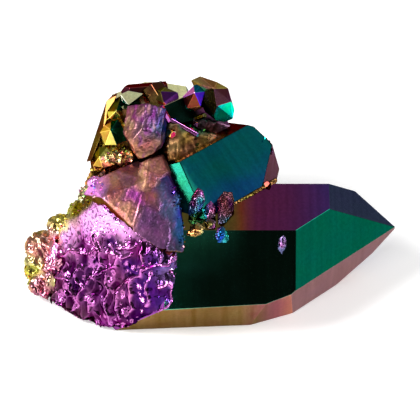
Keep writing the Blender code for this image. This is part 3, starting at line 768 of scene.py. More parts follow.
def apart_from_line(line, along, up):
    """Distance from a place on the break to the nearest part of a ridge."""
    nearest = FAR_OFF
    for (x0, v0), (x1, v1) in zip(line, line[1:]):
        run = x1 - x0
        rise = v1 - v0
        share = ramp(((along - x0) * run + (up - v0) * rise) / (run * run + rise * rise), 0.0, 1.0)
        nearest = min(nearest, hypot(along - x0 - run * share, up - v0 - rise * share))
    return nearest


def up_slope(point):
    return SLOPE_PER_HEIGHT * point.z + SLOPE_PER_DEPTH * point.y


def break_zones(point, up):
    """Shares of the band of bright chips, the glassy part and the crumbled part at a place."""
    band = ramp(up + BAND_DROP * ramp(point.x, *BAND_DROP_LENGTHS), *BAND_RISE)
    if up_slope(point) + BAND_SLANT * point.x > BAND_STOP:
        band = 0.0
    glassy = ramp(point.x, *GLASSY_LENGTHS) * (1.0 - band)
    return band, glassy, (1.0 - glassy) * (1.0 - band)


def break_ridge(point, along, up):
    """How near a place is to the crest of a ridge, and how much the whole ridge raises it."""
    near = FAR_OFF
    if point.y < FRONT_DEPTH:
        near = min(apart_from_line(line, along, up) for line in BREAK_RIDGES)
    crest = exp(-((near / CREST_WIDTH) ** 2))
    return crest, CREST_PART * crest + (1.0 - CREST_PART) * exp(-near / RIDGE_REACH)


def break_surface(point, normal):
    warp = noise.noise_vector(point / WANDER_SIZE)
    along = point.x + warp.x * RIDGE_WANDER
    up = up_slope(point) + warp.z * RIDGE_WANDER
    band, glassy, crumbled = break_zones(point, up)
    crest, rise = break_ridge(point, along, up)
    tall = stretched(point, HOLLOW_STRETCH) + warp * HOLLOW_WANDER
    hollow, rib = shells(tall, HOLLOW_SIZE)
    wide_hollow, _ = shells(tall, WIDE_HOLLOW_SIZE)
    hackle = noise.noise(stretched(point, HACKLE_STRETCH) + warp * HACKLE_WANDER)
    sparkle = ramp(noise.noise(tall / SPARKLE_SIZE + SPARKLE_SHIFT), *SPARKLE_NOISE)
    leaning = LEANING + sparkle * (LEANING_SPARKLE + LEANING_CRUMBLED * crumbled) + (1.0 - LEANING) * band
    chip, slope, leans = facets(point + warp * CHIP_WANDER, CHIP_SIZE, leaning)

    sunken = hollow * HOLLOW_DEPTH * crumbled + wide_hollow * WIDE_HOLLOW_DEPTH * glassy
    sunken += hollow * BAND_HOLLOW_DEPTH * band
    chip_depth = LEANING_CHIP_DEPTH if leans else CHIP_DEPTH + SPARKLING_CHIP_DEPTH * sparkle
    depth = SKIN_DEPTH - RIDGE_HEIGHT * rise + sunken * (1.0 - rise)
    depth += chip * chip_depth * (1.0 - BAND_CHIP_LOSS * band) + hackle * HACKLE_DEPTH * (1.0 - band)

    # Painted light: chips that face the key are painted brighter, and the hollows are painted darker as
    # shade.
    painted_light = ramp((slope - UPWARD * leans).dot(LIT_SLOPE), -1.0, 1.0)
    dark = HOLLOW_PAINTED_SHADE * (hollow * crumbled + wide_hollow * glassy * WIDE_HOLLOW_SHARE) * (1.0 - rise)
    shade = (SHADE + CHIP_PAINTED_LIGHT * painted_light + HACKLE_SHADE * hackle) * (1.0 - dark) * (1.0 - band)
    shade += (BAND_SHADE + BAND_PAINTED_LIGHT * painted_light) * band
    colour = patch_film(BREAK_PATCHES, point) * shade
    # Painted highlights: crests, ribs and leaning chips are painted towards pink.
    if point.x > KNOB_LENGTH and point.y < FRONT_DEPTH:
        glint = max(crest * CREST_GLINT, rib * crumbled * (RIB_GLINT + RIB_SPARKLE * sparkle))
        if leans:
            glint = max(glint, CHIP_GLINT * (1.0 - band))
        colour = colour.lerp(film("pink"), glint)
    return depth, colour, GRIT + SPARKLE_GRIT * sparkle + BAND_GRIT * band


break_coating = coated_quartz("film_on_fresh_break", rough=0.17, drift=0.03, grit=0.09, grit_size=0.5)
break_mesh = joined_hulls(BREAK_BLOCK)
rough_piece(break_mesh, "fresh_break", BREAK_VOXEL, break_surface, break_coating, smooth_under=75.0)


# The two slabs over the break: plates of older, smoother break, mauve and tan, that stand proud of it and
# end in a sharp gold-brown ledge.  Coated quartz, part of the same mass.

SLABS = {
    "left_slab": (
        (-25.2, -2.6, 29.8), (-20.0, -5.6, 27.9), (-19.0, -7.4, 25.7), (-16.2, 0.5, 31.7),
        (-22.4, 4.5, 30.6), (-27.4, 3.6, 28.6), (-29.0, 4.0, 24.6), (-18.0, 8.0, 30.0), (-26.0, 8.0, 22.0),
        (-20.0, 2.0, 20.0),
    ),
    "right_slab": (
        (-16.2, 5.0, 33.4), (-13.6, 6.6, 32.5), (-10.2, -1.6, 28.7), (-9.2, -6.4, 25.7), (-9.3, -9.4, 21.7),
        (-13.8, -10.2, 22.9), (-19.3, -8.0, 25.9), (-16.6, 0.0, 31.6), (-17.8, 5.0, 32.4),
        (-9.5, 6.0, 22.0), (-18.0, 8.0, 22.0), (-14.0, -3.0, 18.0), (-13.2, 9.0, 31.0),
    ),
}
SLAB_VOXEL = 0.2
# The plates that the slabs have split into: where each is centred, along the cluster and up the slope, and
# its film.
SLAB_PLATES = (
    ((-22.4, 21.6), "tan"),
    ((-20.6, 24.6), "rose"),
    ((-18.6, 20.2), "magenta"),
    ((-19.6, 17.6), "tan"),
    ((-16.2, 23.4), "tan"),
    ((-15.4, 20.4), "terra"),
    ((-16.4, 16.0), "heather"),
    ((-14.2, 26.8), "tan"),
    ((-13.2, 20.8), "steel"),
    ((-13.6, 14.6), "heather"),
    ((-11.6, 17.4), "steel"),
    ((-11.0, 21.6), "violet"),
    ((-10.2, 14.2), "slate"),
    ((-26.6, 22.6), "blush"),
)
# The slabs turn azure towards their right edge, which is given as a line, and gold-brown under the ledge.
SLAB_EDGE = ((-9.6, 20.4), (-9.8, 12.4))
AZURE_DISTANCES = (1.8, 0.4)
AZURE_SHARE = 0.7
UNDERSIDE = (0.25, -0.05)
# The cracks between plates, the steps where neighbours tilt apart, and the fine pits and ripples over them.
SEAM_WIDTH = 0.45
BLEND_WIDTH = 1.6
STEP_HEIGHT = 0.14
PLATE_SHUFFLE = 3.0
SEAM_DEPTH = 0.04
RIPPLE_DEPTH = 0.06
RIPPLE_STRETCH = (1.6, 0.7, 0.7)
SLAB_PIT_SIZE = 0.55
SLAB_PIT_DEPTH = 0.05
SLAB_GRIT = 0.45
# How far the outlines of the plates, the pits and the ripples wander.
SLAB_WANDER_SIZE = 2.0
PLATE_WANDER = 0.7
PIT_WANDER = 0.3
RIPPLE_WANDER = 0.6
# The film's brightness, what pits and ripples add to it, and the colours that ripples and cracks mix in.
SLAB_SHADE = 0.66
PIT_SHADE = 0.3
RIPPLE_SHADE = 0.2
RIPPLE_MAGENTA = 0.55
SEAM_WINE = 0.22


def plates(point, wander):
    """The film of the plate that a place lies on, how near the crack round the plate is, and the tilt."""
    across = point.x + wander.x
    up = up_slope(point) + wander.z
    nearest = sorted((hypot(across - x, up - v), name, x, v) for (x, v), name in SLAB_PLATES)[:2]
    (first, name, x, v), (second, neighbour, _, _) = nearest
    seam = 1.0 - ramp(second - first, 0.0, SEAM_WIDTH)
    share = ramp(second - first, 0.0, BLEND_WIDTH) * 0.5 + 0.5
    turn = noise.cell_vector(Vector((x, v, PLATE_SHUFFLE)))
    tilt = (across - x) * (turn.x - 0.5) + (up - v) * (turn.y - 0.5)
    return film(neighbour).lerp(film(name), share), seam, tilt


def slab_surface(point, normal):
    warp = noise.noise_vector(point / SLAB_WANDER_SIZE)
    colour, seam, tilt = plates(point, warp * PLATE_WANDER)
    pits, _ = shells(point + warp * PIT_WANDER, SLAB_PIT_SIZE)
    ripple = noise.noise(stretched(point, RIPPLE_STRETCH) + warp * RIPPLE_WANDER)
    colour = colour * (SLAB_SHADE + PIT_SHADE * pits + RIPPLE_SHADE * ripple)
    colour = colour.lerp(film("magenta"), max(ripple, 0.0) * RIPPLE_MAGENTA)
    colour = colour.lerp(film("wine"), seam * SEAM_WINE)
    near_edge = ramp(apart_from_line(SLAB_EDGE, point.x, up_slope(point)), *AZURE_DISTANCES)
    colour = colour.lerp(film("azure"), near_edge * AZURE_SHARE)
    colour = colour.lerp(film("bronze"), ramp(normal.z, *UNDERSIDE))
    depth = tilt * STEP_HEIGHT + seam * SEAM_DEPTH + ripple * RIPPLE_DEPTH + pits * SLAB_PIT_DEPTH
    return depth, colour, SLAB_GRIT


slab_coating = coated_quartz("film_on_slabs", rough=0.45, drift=0.05, grit=0.06, grit_size=0.3)
slab_mesh = joined_hulls(*SLABS.values())
rough_piece(slab_mesh, "slabs", SLAB_VOXEL, slab_surface, slab_coating, smooth_under=60.0)


# The back of the root and the wall of the recess: rough, hollowed quartz that the small crystals grow out
# of.  It is coated like the rest, gold, teal and magenta on the hidden back and brown in the recess, with
# painted shade deep in the recess, where the film is bottle green and black.

ROUGH_BLOCKS = {
    "recess_wall": (
        (-12.4, 11.6, 36.8), (-11.0, 12.2, 36.4), (-6.6, 12.6, 32.8), (-1.8, 14.8, 30.6),
        (-12.6, 14.4, 36.2), (-1.6, 16.2, 29.8), (-13.0, 8.5, 31.5), (-0.6, 15.0, 28.5),
        (-14.0, 14.0, 27.0), (-2.0, 17.0, 26.0), (-12.2, 6.6, 31.0), (-10.9, 7.4, 30.1),
    ),
    "back_rock": (
        (-27.0, 10.5, 28.6), (-23.0, 12.0, 34.2), (-17.0, 12.6, 36.8), (-12.0, 16.2, 36.0),
        (-21.0, 20.0, 36.0), (-4.0, 21.0, 31.7), (0.0, 19.8, 29.0), (-1.0, 24.0, 27.7), (-8.0, 24.0, 34.0),
        (-14.0, 27.0, 28.0), (-2.0, 17.5, 26.0), (0.5, 22.0, 19.0), (-4.0, 23.0, 6.0), (-20.0, 27.0, 6.0),
        (-31.0, 20.0, 4.0), (-29.6, 12.0, 18.0), (-27.0, 20.0, 20.0), (-21.0, 25.5, 25.0),
        (-10.0, 12.0, 20.0),
    ),
}
ROUGH_PATCHES = (
    ((-25.0, 11.0, 31.0), 4.0, "gold"),
    ((-20.0, 10.0, 34.0), 3.0, "citrine"),
    ((-23.0, 8.0, 30.5), 3.0, "straw"),
    ((-10.0, 11.6, 35.4), 1.6, "bark"),
    ((-11.8, 9.6, 32.4), 2.0, "hazel"),
    ((-9.0, 11.0, 32.6), 2.0, "walnut"),
    ((-6.0, 12.5, 31.5), 2.0, "walnut"),
    ((-10.8, 7.8, 30.6), 2.4, "bronze"),
    ((-3.0, 15.0, 29.0), 2.0, "russet"),
    # Painted shade: deep in the recess the film is bottle green and black.
    ((-8.0, 14.0, 34.0), 3.0, "bottle"),
    ((-9.0, 16.0, 35.0), 3.0, "black"),
    ((-14.0, 15.0, 35.0), 3.0, "black"),
    ((-12.0, 27.0, 28.0), 7.0, "magenta"),
    ((-22.0, 26.0, 14.0), 8.0, "gold"),
    ((-4.0, 24.0, 14.0), 7.0, "teal"),
    ((-28.0, 18.0, 20.0), 6.0, "copper"),
)
ROUGH_VOXEL = 0.32
ROUGH_WANDER_SIZE = 4.0
ROUGH_WANDER = 1.2
ROUGH_HOLLOW_SIZE = 3.0
ROUGH_HOLLOW_DEPTH = 0.9
ROUGH_CHIP_SIZE = 1.1
ROUGH_CHIP_DEPTH = 0.35
ROUGH_CHIP_WANDER = 0.5
ROUGH_SKIN = 0.3
ROUGH_GRIT = 0.6
# The film's brightness in the hollows, and the painted light along the ridges between them, which leaves the
# hollows in painted shade.
ROUGH_SHADE = 0.7
ROUGH_RIDGE_PAINTED_LIGHT = 0.8
# The wall of the recess, towards +X, is this much smoother than the back.
SMOOTHEST = 0.35
SMOOTH_LENGTHS = (-12.0, -18.0)


def rough_surface(point, normal):
    warp = noise.noise_vector(point / ROUGH_WANDER_SIZE) * ROUGH_WANDER
    hollow, ridge = shells(point + warp, ROUGH_HOLLOW_SIZE)
    chip, _ = shells(point + warp * ROUGH_CHIP_WANDER, ROUGH_CHIP_SIZE)
    # Painted light on the ridges, painted shade in the hollows.
    colour = patch_film(ROUGH_PATCHES, point) * (ROUGH_SHADE + ROUGH_RIDGE_PAINTED_LIGHT * ridge)
    rugged = SMOOTHEST + (1.0 - SMOOTHEST) * ramp(point.x, *SMOOTH_LENGTHS)
    depth = hollow * ROUGH_HOLLOW_DEPTH + chip * ROUGH_CHIP_DEPTH - ROUGH_SKIN
    return depth * rugged, colour, ROUGH_GRIT * rugged


rough_coating = coated_quartz("film_on_rough_quartz", rough=0.36, drift=0.05, grit=0.05, grit_size=0.45)
for name, corners in ROUGH_BLOCKS.items():
    block_mesh = joined_hulls(corners)
    rough_piece(block_mesh, name, ROUGH_VOXEL, rough_surface, rough_coating, smooth_under=40.0)


# The left end: a knob of overgrown quartz and a strip of crust above the break, lumpy as if melted, in
# copper, olive and pink.  Part of the same mass, and coated with it.

LEFT_END_BLOCK = (
    (-41.0, 3.5, 7.6), (-40.0, -0.4, 2.6), (-36.6, -3.8, 2.4), (-33.0, -1.0, 11.0), (-35.4, 4.4, 13.4),
    (-38.2, 8.6, 8.6), (-36.0, 9.0, 3.0), (-39.4, 6.0, 2.4),
)
# Its round lumps: where each is centred, and its half sizes.
LEFT_END_LUMPS = (
    ((-37.6, 5.4, 8.6), (3.9, 3.6, 3.9)),
    ((-34.0, 6.6, 13.4), (3.0, 3.0, 2.5)),
    ((-39.6, 3.2, 5.6), (1.9, 2.4, 3.6)),
    ((-35.8, -1.3, 5.6), (1.7, 1.8, 3.0)),
    ((-38.4, 0.2, 3.4), (2.3, 2.6, 2.2)),
    ((-30.6, 8.0, 15.4), (2.2, 3.2, 2.7)),
    ((-28.4, 7.6, 19.6), (2.0, 3.6, 3.2)),
    ((-26.4, 3.8, 27.4), (1.9, 1.7, 1.9)),
    ((-22.4, 7.8, 31.2), (3.6, 1.8, 1.5)),
)
LEFT_END_PATCHES = (
    ((-38.4, 2.0, 12.4), 2.8, "coral"),
    ((-35.0, 2.0, 12.0), 2.2, "blush"),
    ((-38.6, 0.6, 10.2), 2.0, "coral"),
    ((-36.4, 0.0, 9.6), 2.0, "mauve"),
    ((-41.0, 3.0, 8.0), 1.6, "sand"),
    ((-41.0, 1.0, 5.6), 2.2, "citrine"),
    ((-35.8, -3.0, 7.0), 1.2, "sand"),
    ((-34.8, -3.4, 4.6), 1.4, "orchid"),
    ((-38.4, -2.0, 3.4), 2.4, "mauve"),
    ((-31.6, 6.0, 15.4), 3.5, "citrine"),
    ((-28.4, 5.6, 21.4), 3.5, "sage"),
    ((-26.8, 2.2, 28.6), 2.5, "blush"),
    ((-22.4, 7.0, 32.0), 3.4, "straw"),
    ((-38.0, 9.0, 6.0), 4.0, "gold"),
)
LEFT_END_VOXEL = 0.24
# Its hollows are drawn out along a slant, by these shares of a place's length and height.
SLANT_LENGTH = (1.3, 0.5)
SLANT_HEIGHT = (-0.3, 0.5)
KNOB_WANDER_SIZE = 2.2
KNOB_HOLLOW_WANDER = 0.6
KNOB_HOLLOW_SIZE = 2.2
KNOB_HOLLOW_DEPTH = 0.7
KNOB_CHIP_WANDER = 0.5
KNOB_CHIP_SIZE = 1.4
KNOB_CHIP_DEPTH = 0.16
KNOB_CHIPS_LEANING = 0.3
KNOB_SKIN = 0.15
KNOB_GRIT = 0.25
# The film's brightness, the painted light on chips that face the key, and the painted shade in the hollows.
KNOB_SHADE = 0.75
KNOB_PAINTED_LIGHT = 0.5
KNOB_HOLLOW_PAINTED_SHADE = 0.35


def left_end_surface(point, normal):
    warp = noise.noise_vector(point / KNOB_WANDER_SIZE)
    length = point.x * SLANT_LENGTH[0] + point.z * SLANT_LENGTH[1]
    height = point.x * SLANT_HEIGHT[0] + point.z * SLANT_HEIGHT[1]
    slanted = Vector((length, point.y, height)) + warp * KNOB_HOLLOW_WANDER
    hollow, _ = shells(slanted, KNOB_HOLLOW_SIZE)
    chip, slope, _ = facets(point + warp * KNOB_CHIP_WANDER, KNOB_CHIP_SIZE, KNOB_CHIPS_LEANING)
    # Painted light on chips that face the key, and painted shade in the hollows.
    shade = KNOB_SHADE + KNOB_PAINTED_LIGHT * ramp(slope.dot(LIT_SLOPE), -1.0, 1.0)
    colour = patch_film(LEFT_END_PATCHES, point) * shade * (1.0 - KNOB_HOLLOW_PAINTED_SHADE * hollow)
    return hollow * KNOB_HOLLOW_DEPTH + chip * KNOB_CHIP_DEPTH - KNOB_SKIN, colour, KNOB_GRIT


left_end_mesh = joined_hulls(LEFT_END_BLOCK)
for centre, half_sizes in LEFT_END_LUMPS:
    lump = bmesh.ops.create_icosphere(left_end_mesh, subdivisions=2, radius=1.0)
    place = Matrix.Translation(centre) @ Matrix.Diagonal((*half_sizes, 1.0))
    bmesh.ops.transform(left_end_mesh, matrix=place, verts=lump["verts"])
left_end_coating = coated_quartz("film_on_left_end", rough=0.24, drift=0.05, grit=0.08, grit_size=0.45)
rough_piece(
    left_end_mesh, "left_end", LEFT_END_VOXEL, left_end_surface, left_end_coating, smooth_under=60.0
)


# The small points: sixteen little prisms that crown the root, edge the recess and stand on the hidden back.
# Each is a whole quartz crystal.  Each face took a film of its own, given here for the faces that look left,
# low to the front, high to the front, right and back.

LOOKS = ((-1.0, -0.3, 0.1), (0.0, -1.0, -0.3), (0.0, -0.6, 0.8), (1.0, -0.3, 0.1), (0.0, 0.8, 0.6))
# For each crystal: tip, axis, the way one prism face looks, half the width between faces, length, how much
# of the sharp tip is missing, and the five films.
SMALL_GROUPS = {
    "summit_points": (
        ((-11.3, 13.8, 34.8), (0.50, -0.75, -0.43), (-0.4, -0.7, 0.6), 2.1, 8.6, 0.2,
         ("bark", "bark", "bark", "wine", "umber")),
        ((-21.9, 20.6, 36.9), (-0.96, -0.20, 0.06), (0.0, -0.70, 0.71), 1.35, 9.5, 0.2,
         ("bark", "bark", "russet", "umber", "russet")),
    ),
    "rim_blades": (
        ((-6.2, 12.5, 32.6), (0.80, -0.05, -0.56), (0.0, -0.70, 0.71), 0.55, 7.0, 0.0,
         ("magenta", "magenta", "pink", "pink", "magenta")),
        ((-11.8, 11.8, 36.5), (0.45, -0.20, -0.87), (0.0, -0.70, 0.71), 0.5, 4.2, 0.0,
         ("magenta", "magenta", "pink", "pink", "magenta")),
        ((-6.8, 15.0, 33.2), (0.1, -0.8, 0.6), (1.0, 0.0, 0.0), 0.55, 4.0, 0.3,
         ("pink", "pink", "pink", "pink", "pink")),
        ((-4.6, 17.0, 34.3), (0.75, -0.25, 0.60), (0.0, -0.70, 0.71), 0.5, 5.5, 0.0,
         ("gold", "olive", "straw", "gold", "olive")),
        ((-11.5, 10.0, 36.0), (0.2, -0.5, 0.85), (0.5, -0.70, 0.2), 1.0, 5.5, 0.2,
         ("olive", "gold", "gold", "straw", "olive")),
    ),
    "gold_points": (
        ((-27.4, 10.3, 27.3), (-0.50, -0.55, 0.67), (0.6, -0.75, 0.1), 1.4, 6.0, 0.2,
         ("umber", "gold", "honey", "citrine", "gold")),
        ((-21.8, 7.2, 31.4), (0.10, -0.60, 0.79), (0.9, -0.30, 0.1), 1.0, 5.0, 0.1,
         ("citrine", "olive", "honey", "citrine", "gold")),
        ((-37.4, 13.4, 4.6), (-0.66, 0.74, -0.02), (0.3, 0.1, 0.95), 2.1, 8.0, 0.2,
         ("gold", "copper", "gold", "magenta", "rose")),
    ),
    "back_points": (
        ((-17.0, 34.0, 13.0), (0.05, 0.96, 0.16), (0.0, 0.3, 0.95), 4.4, 16.0, 0.4,
         ("teal", "blue", "violet", "rose", "teal")),
        ((-8.0, 30.6, 24.0), (0.28, 0.86, 0.42), (0.6, 0.1, 0.8), 3.2, 13.0, 0.2,
         ("gold", "copper", "magenta", "teal", "gold")),
        ((-25.4, 30.0, 9.0), (-0.38, 0.90, 0.10), (0.3, 0.1, 0.95), 2.9, 11.0, 0.2,
         ("magenta", "rose", "blue", "teal", "violet")),
        ((-5.0, 29.0, 7.4), (0.45, 0.86, -0.10), (0.1, 0.1, 0.95), 2.8, 12.0, 0.1,
         ("gold", "bronze", "green", "gold", "mauve")),
        ((-20.0, 29.0, 26.0), (-0.20, 0.84, 0.50), (0.3, 0.1, 0.95), 2.2, 9.0, 0.2,
         ("copper", "gold", "teal", "violet", "green")),
    ),
    "end_nub": (
        ((7.9, 6.6, 25.4), (0.5, -0.3, 0.8), (0.8, -0.5, 0.0), 0.7, 2.6, 0.1,
         ("olive", "bark", "bark", "bark", "olive")),
    ),
}
# How unevenly a small crystal's six sides and six tip faces have grown, as shares of its half width.
SIDE_SPREAD = (1.0, 0.93, 1.06, 0.95, 1.08, 0.97)
TIP_SPREAD = (0.0, 0.26, 0.04, 0.30, 0.0, 0.22)
# The worn edges' width as a share of the half width, the widest that they get, and how much they shine out.
WEAR_SHARE = 0.07
WIDEST_WEAR = 0.10
WORN_SHINE = 1.7


def small_planes(tip, axis, facing, half_width, length, missing_tip):
    sides = [half_width * spread for spread in SIDE_SPREAD]
    gaps = [half_width * spread for spread in TIP_SPREAD]
    planes = crystal_planes(Vector(tip), axis, facing, sides, gaps, length)
    if missing_tip:
        planes.append(("tip end", Vector(tip) - direction(axis) * missing_tip, direction(axis)))
    return planes


def film_by_look(normal, films):
    """The film of the face that looks this way, out of five."""
    nearest = max(range(len(LOOKS)), key=lambda look: direction(LOOKS[look]).dot(normal))
    return film(films[nearest])


small_coating = coated_quartz("film_on_small_points", rough=0.14, drift=0.05)
for group, points in SMALL_GROUPS.items():
    group_mesh = bmesh.new()
    colours = []
    for *sizes, films in points:
        planes = small_planes(*sizes)
        small = cut_block(planes)
        half_width = sizes[3]
        worn_edges(small, min(WIDEST_WEAR, half_width * WEAR_SHARE))
        bmesh.ops.recalc_face_normals(small, faces=small.faces)
        for face in small.faces:
            _, squarely = nearest_face(planes, face.normal)
            colour = film_by_look(face.normal, films) * (1.0 if squarely else WORN_SHINE)
            colours.extend([colour] * len(face.verts))
        grown = bpy.data.meshes.new("grown")
        small.to_mesh(grown)
        small.free()
        group_mesh.from_mesh(grown)
        bpy.data.meshes.remove(grown)
    piece = object_from(group_mesh, group)
    coat(piece, colours)
    finish_piece(piece, small_coating)


# The blocky crystals: the crown and its two neighbours at the summit, and those on the left shoulder.
# Grown against each other, they have few whole faces, and each face took a film of its own.

# Each crystal's corners, and below them its films, each with a place on the face that it covers.
BLOCKY_POINTS = {
    "crown": (
        (-7.8, 20.7, 40.1), (-6.0, 20.9, 41.0), (-2.6, 19.6, 40.6), (-0.4, 19.5, 39.1), (-3.2, 16.6, 41.5),
        (-2.6, 15.0, 38.3), (0.2, 17.4, 37.4), (0.9, 18.1, 34.6), (0.6, 17.3, 32.9), (-1.0, 16.7, 32.5),
        (-2.8, 15.6, 33.9), (-3.3, 15.2, 35.6), (-6.8, 18.9, 38.8), (-3.6, 23.2, 36.9), (0.0, 20.9, 31.4),
        (-5.0, 19.4, 32.8), (-1.6, 19.7, 30.1),
    ),
    "crown_neighbour": (
        (-9.8, 17.8, 37.8), (-7.2, 19.1, 40.1), (-5.4, 20.1, 40.1), (-5.0, 17.6, 39.9), (-7.0, 16.8, 40.3),
        (-5.8, 16.3, 37.1), (-6.8, 16.3, 35.9), (-8.6, 16.2, 36.6), (-9.6, 16.8, 35.2), (-8.0, 22.4, 36.0),
        (-5.4, 20.0, 33.4), (-9.4, 19.7, 34.5),
    ),
    "summit_blue": (
        (-15.4, 19.2, 39.3), (-12.8, 19.0, 39.7), (-10.4, 18.5, 38.8), (-9.8, 16.7, 36.7),
        (-11.6, 15.2, 37.3), (-13.2, 14.8, 39.3), (-13.8, 17.2, 40.1), (-11.8, 15.4, 35.2),
        (-13.4, 14.8, 36.0), (-14.8, 16.7, 38.6), (-14.0, 21.7, 35.3), (-10.4, 21.1, 34.6),
        (-13.0, 19.0, 32.4),
    ),
    "shoulder": (
        (-28.6, 9.8, 28.0), (-28.0, 11.4, 29.9), (-26.8, 13.5, 32.7), (-24.6, 17.7, 37.2),
        (-23.6, 18.4, 37.9), (-22.4, 20.0, 37.5), (-27.6, 9.2, 29.0), (-26.6, 10.6, 30.9),
        (-25.2, 13.0, 34.1), (-22.6, 18.2, 38.2), (-27.0, 14.9, 24.0), (-24.0, 20.9, 33.9),
    ),
    "sage_step": (
        (-21.8, 17.6, 39.1), (-20.2, 18.1, 39.6), (-17.2, 17.0, 39.8), (-20.2, 14.9, 38.6),
        (-21.4, 16.2, 38.4), (-20.0, 20.0, 36.0), (-18.6, 19.6, 35.0), (-20.6, 17.4, 35.0),
    ),
    "gold_upper": (
        (-24.6, 16.1, 35.9), (-23.4, 18.0, 37.1), (-21.8, 19.0, 37.5), (-20.4, 18.0, 37.1),
        (-20.8, 15.0, 36.9), (-21.8, 13.0, 37.4), (-22.6, 13.1, 38.6), (-24.0, 13.4, 36.5),
        (-24.6, 14.2, 35.2), (-21.4, 13.0, 35.4), (-23.0, 20.4, 33.8), (-21.0, 18.6, 31.9),
    ),
    "gold_middle": (
        (-25.9, 12.9, 33.1), (-25.0, 13.5, 34.5), (-23.6, 12.8, 35.9), (-22.2, 12.8, 36.8),
        (-21.2, 11.5, 35.7), (-20.4, 9.8, 33.6), (-22.4, 8.7, 33.5), (-23.6, 10.1, 36.3),
        (-24.8, 10.0, 32.3), (-25.8, 12.1, 31.4), (-23.6, 17.3, 30.4), (-22.0, 15.4, 28.4),
    ),
    "gold_lower": (
        (-27.4, 11.4, 29.3), (-26.0, 10.7, 31.4), (-24.4, 9.0, 32.6), (-23.2, 7.7, 32.2),
        (-22.8, 6.4, 30.4), (-25.2, 6.7, 29.3), (-27.2, 8.8, 27.9), (-26.0, 7.3, 31.5), (-25.2, 13.2, 26.0),
    ),
}
BLOCKY_FILMS = {
    "crown": (
        ((-1.6, 16.4, 38.6), "mulberry"), ((-1.0, 16.6, 34.8), "jade"), ((-3.4, 17.8, 41.2), "hazel"),
        ((-6.2, 19.6, 40.2), "hazel"), ((-4.4, 17.0, 38.8), "olive"), ((-5.4, 18.4, 36.4), "bottle"),
        ((-3.6, 23.2, 36.0), "magenta"),
    ),
    "crown_neighbour": (
        ((-8.0, 17.9, 39.4), "pink"), ((-6.2, 18.4, 40.2), "teal"), ((-7.4, 16.5, 38.2), "crimson"),
        ((-5.6, 16.9, 38.4), "blue"), ((-9.2, 16.8, 36.4), "jade"), ((-7.2, 16.2, 36.2), "rust"),
        ((-6.4, 20.4, 38.0), "umber"),
    ),
    "summit_blue": (
        ((-11.8, 17.0, 39.0), "indigo"), ((-10.8, 17.0, 37.8), "violet"), ((-12.6, 15.0, 37.2), "crimson"),
        ((-14.4, 16.6, 39.4), "umber"), ((-13.4, 18.6, 39.8), "olive"), ((-10.6, 15.9, 36.2), "mulberry"),
    ),
    "shoulder": (((-27.6, 10.0, 29.0), "walnut"), ((-24.6, 17.0, 37.0), "walnut")),
    "sage_step": (((-19.8, 16.9, 39.4), "sage"), ((-20.8, 15.6, 37.4), "bottle")),
    "gold_upper": (
        ((-23.6, 15.4, 37.2), "bronze"), ((-22.2, 15.6, 38.0), "olive"), ((-21.0, 15.6, 37.4), "bottle"),
        ((-23.4, 13.2, 36.6), "citrine"), ((-22.0, 13.0, 36.4), "honey"),
    ),
    "gold_middle": (
        ((-25.0, 11.6, 34.4), "honey"), ((-24.2, 9.8, 33.6), "citrine"), ((-22.2, 9.8, 35.0), "bottle"),
        ((-22.4, 11.8, 36.6), "bottle"), ((-22.4, 9.0, 32.6), "gold"),
    ),
    "gold_lower": (
        ((-26.6, 9.4, 30.4), "bronze"), ((-25.0, 8.2, 32.0), "olive"), ((-24.4, 7.0, 31.0), "citrine"),
        ((-26.2, 7.6, 29.4), "honey"),
    ),
}
# Parts that turn by less than this make one face.  Anything smaller than the smallest face, in square
# metres, belongs to a worn edge.
ONE_FACE = radians(7.0)
BLOCKY_WEAR = 0.09
SMALLEST_FACE = 4e-7


def film_by_place(place, patches):
    """The film of the patch that lies nearest to a place."""
    nearest = min(patches, key=lambda patch: (Vector(patch[0]) - place).length)
    return film(nearest[1])


blocky_coating = coated_quartz("film_on_blocky_points", rough=0.22, drift=0.06)
for name, corners in BLOCKY_POINTS.items():
    blocky_mesh = joined_hulls(corners)
    bmesh.ops.dissolve_limit(
        blocky_mesh, angle_limit=ONE_FACE, verts=blocky_mesh.verts, edges=blocky_mesh.edges
    )
    worn_edges(blocky_mesh, BLOCKY_WEAR)
    blocky = object_from(blocky_mesh, name)
    colours = []
    for face in blocky.data.polygons:
        worn = WORN_SHINE if face.area <= SMALLEST_FACE else 1.0
        colour = film_by_place(face.center / MM, BLOCKY_FILMS[name]) * worn
        colours.extend([colour] * len(face.vertices))
    coat(blocky, colours)
    finish_piece(blocky, blocky_coating)


# The crystals in the corner between the two large points, with the rim where those two meet and a chip on
# the front face: coated quartz, pitted all over, so that it sparkles teal and pink or is a dull maroon.
# The crests between the pits are painted lighter: painted highlights.

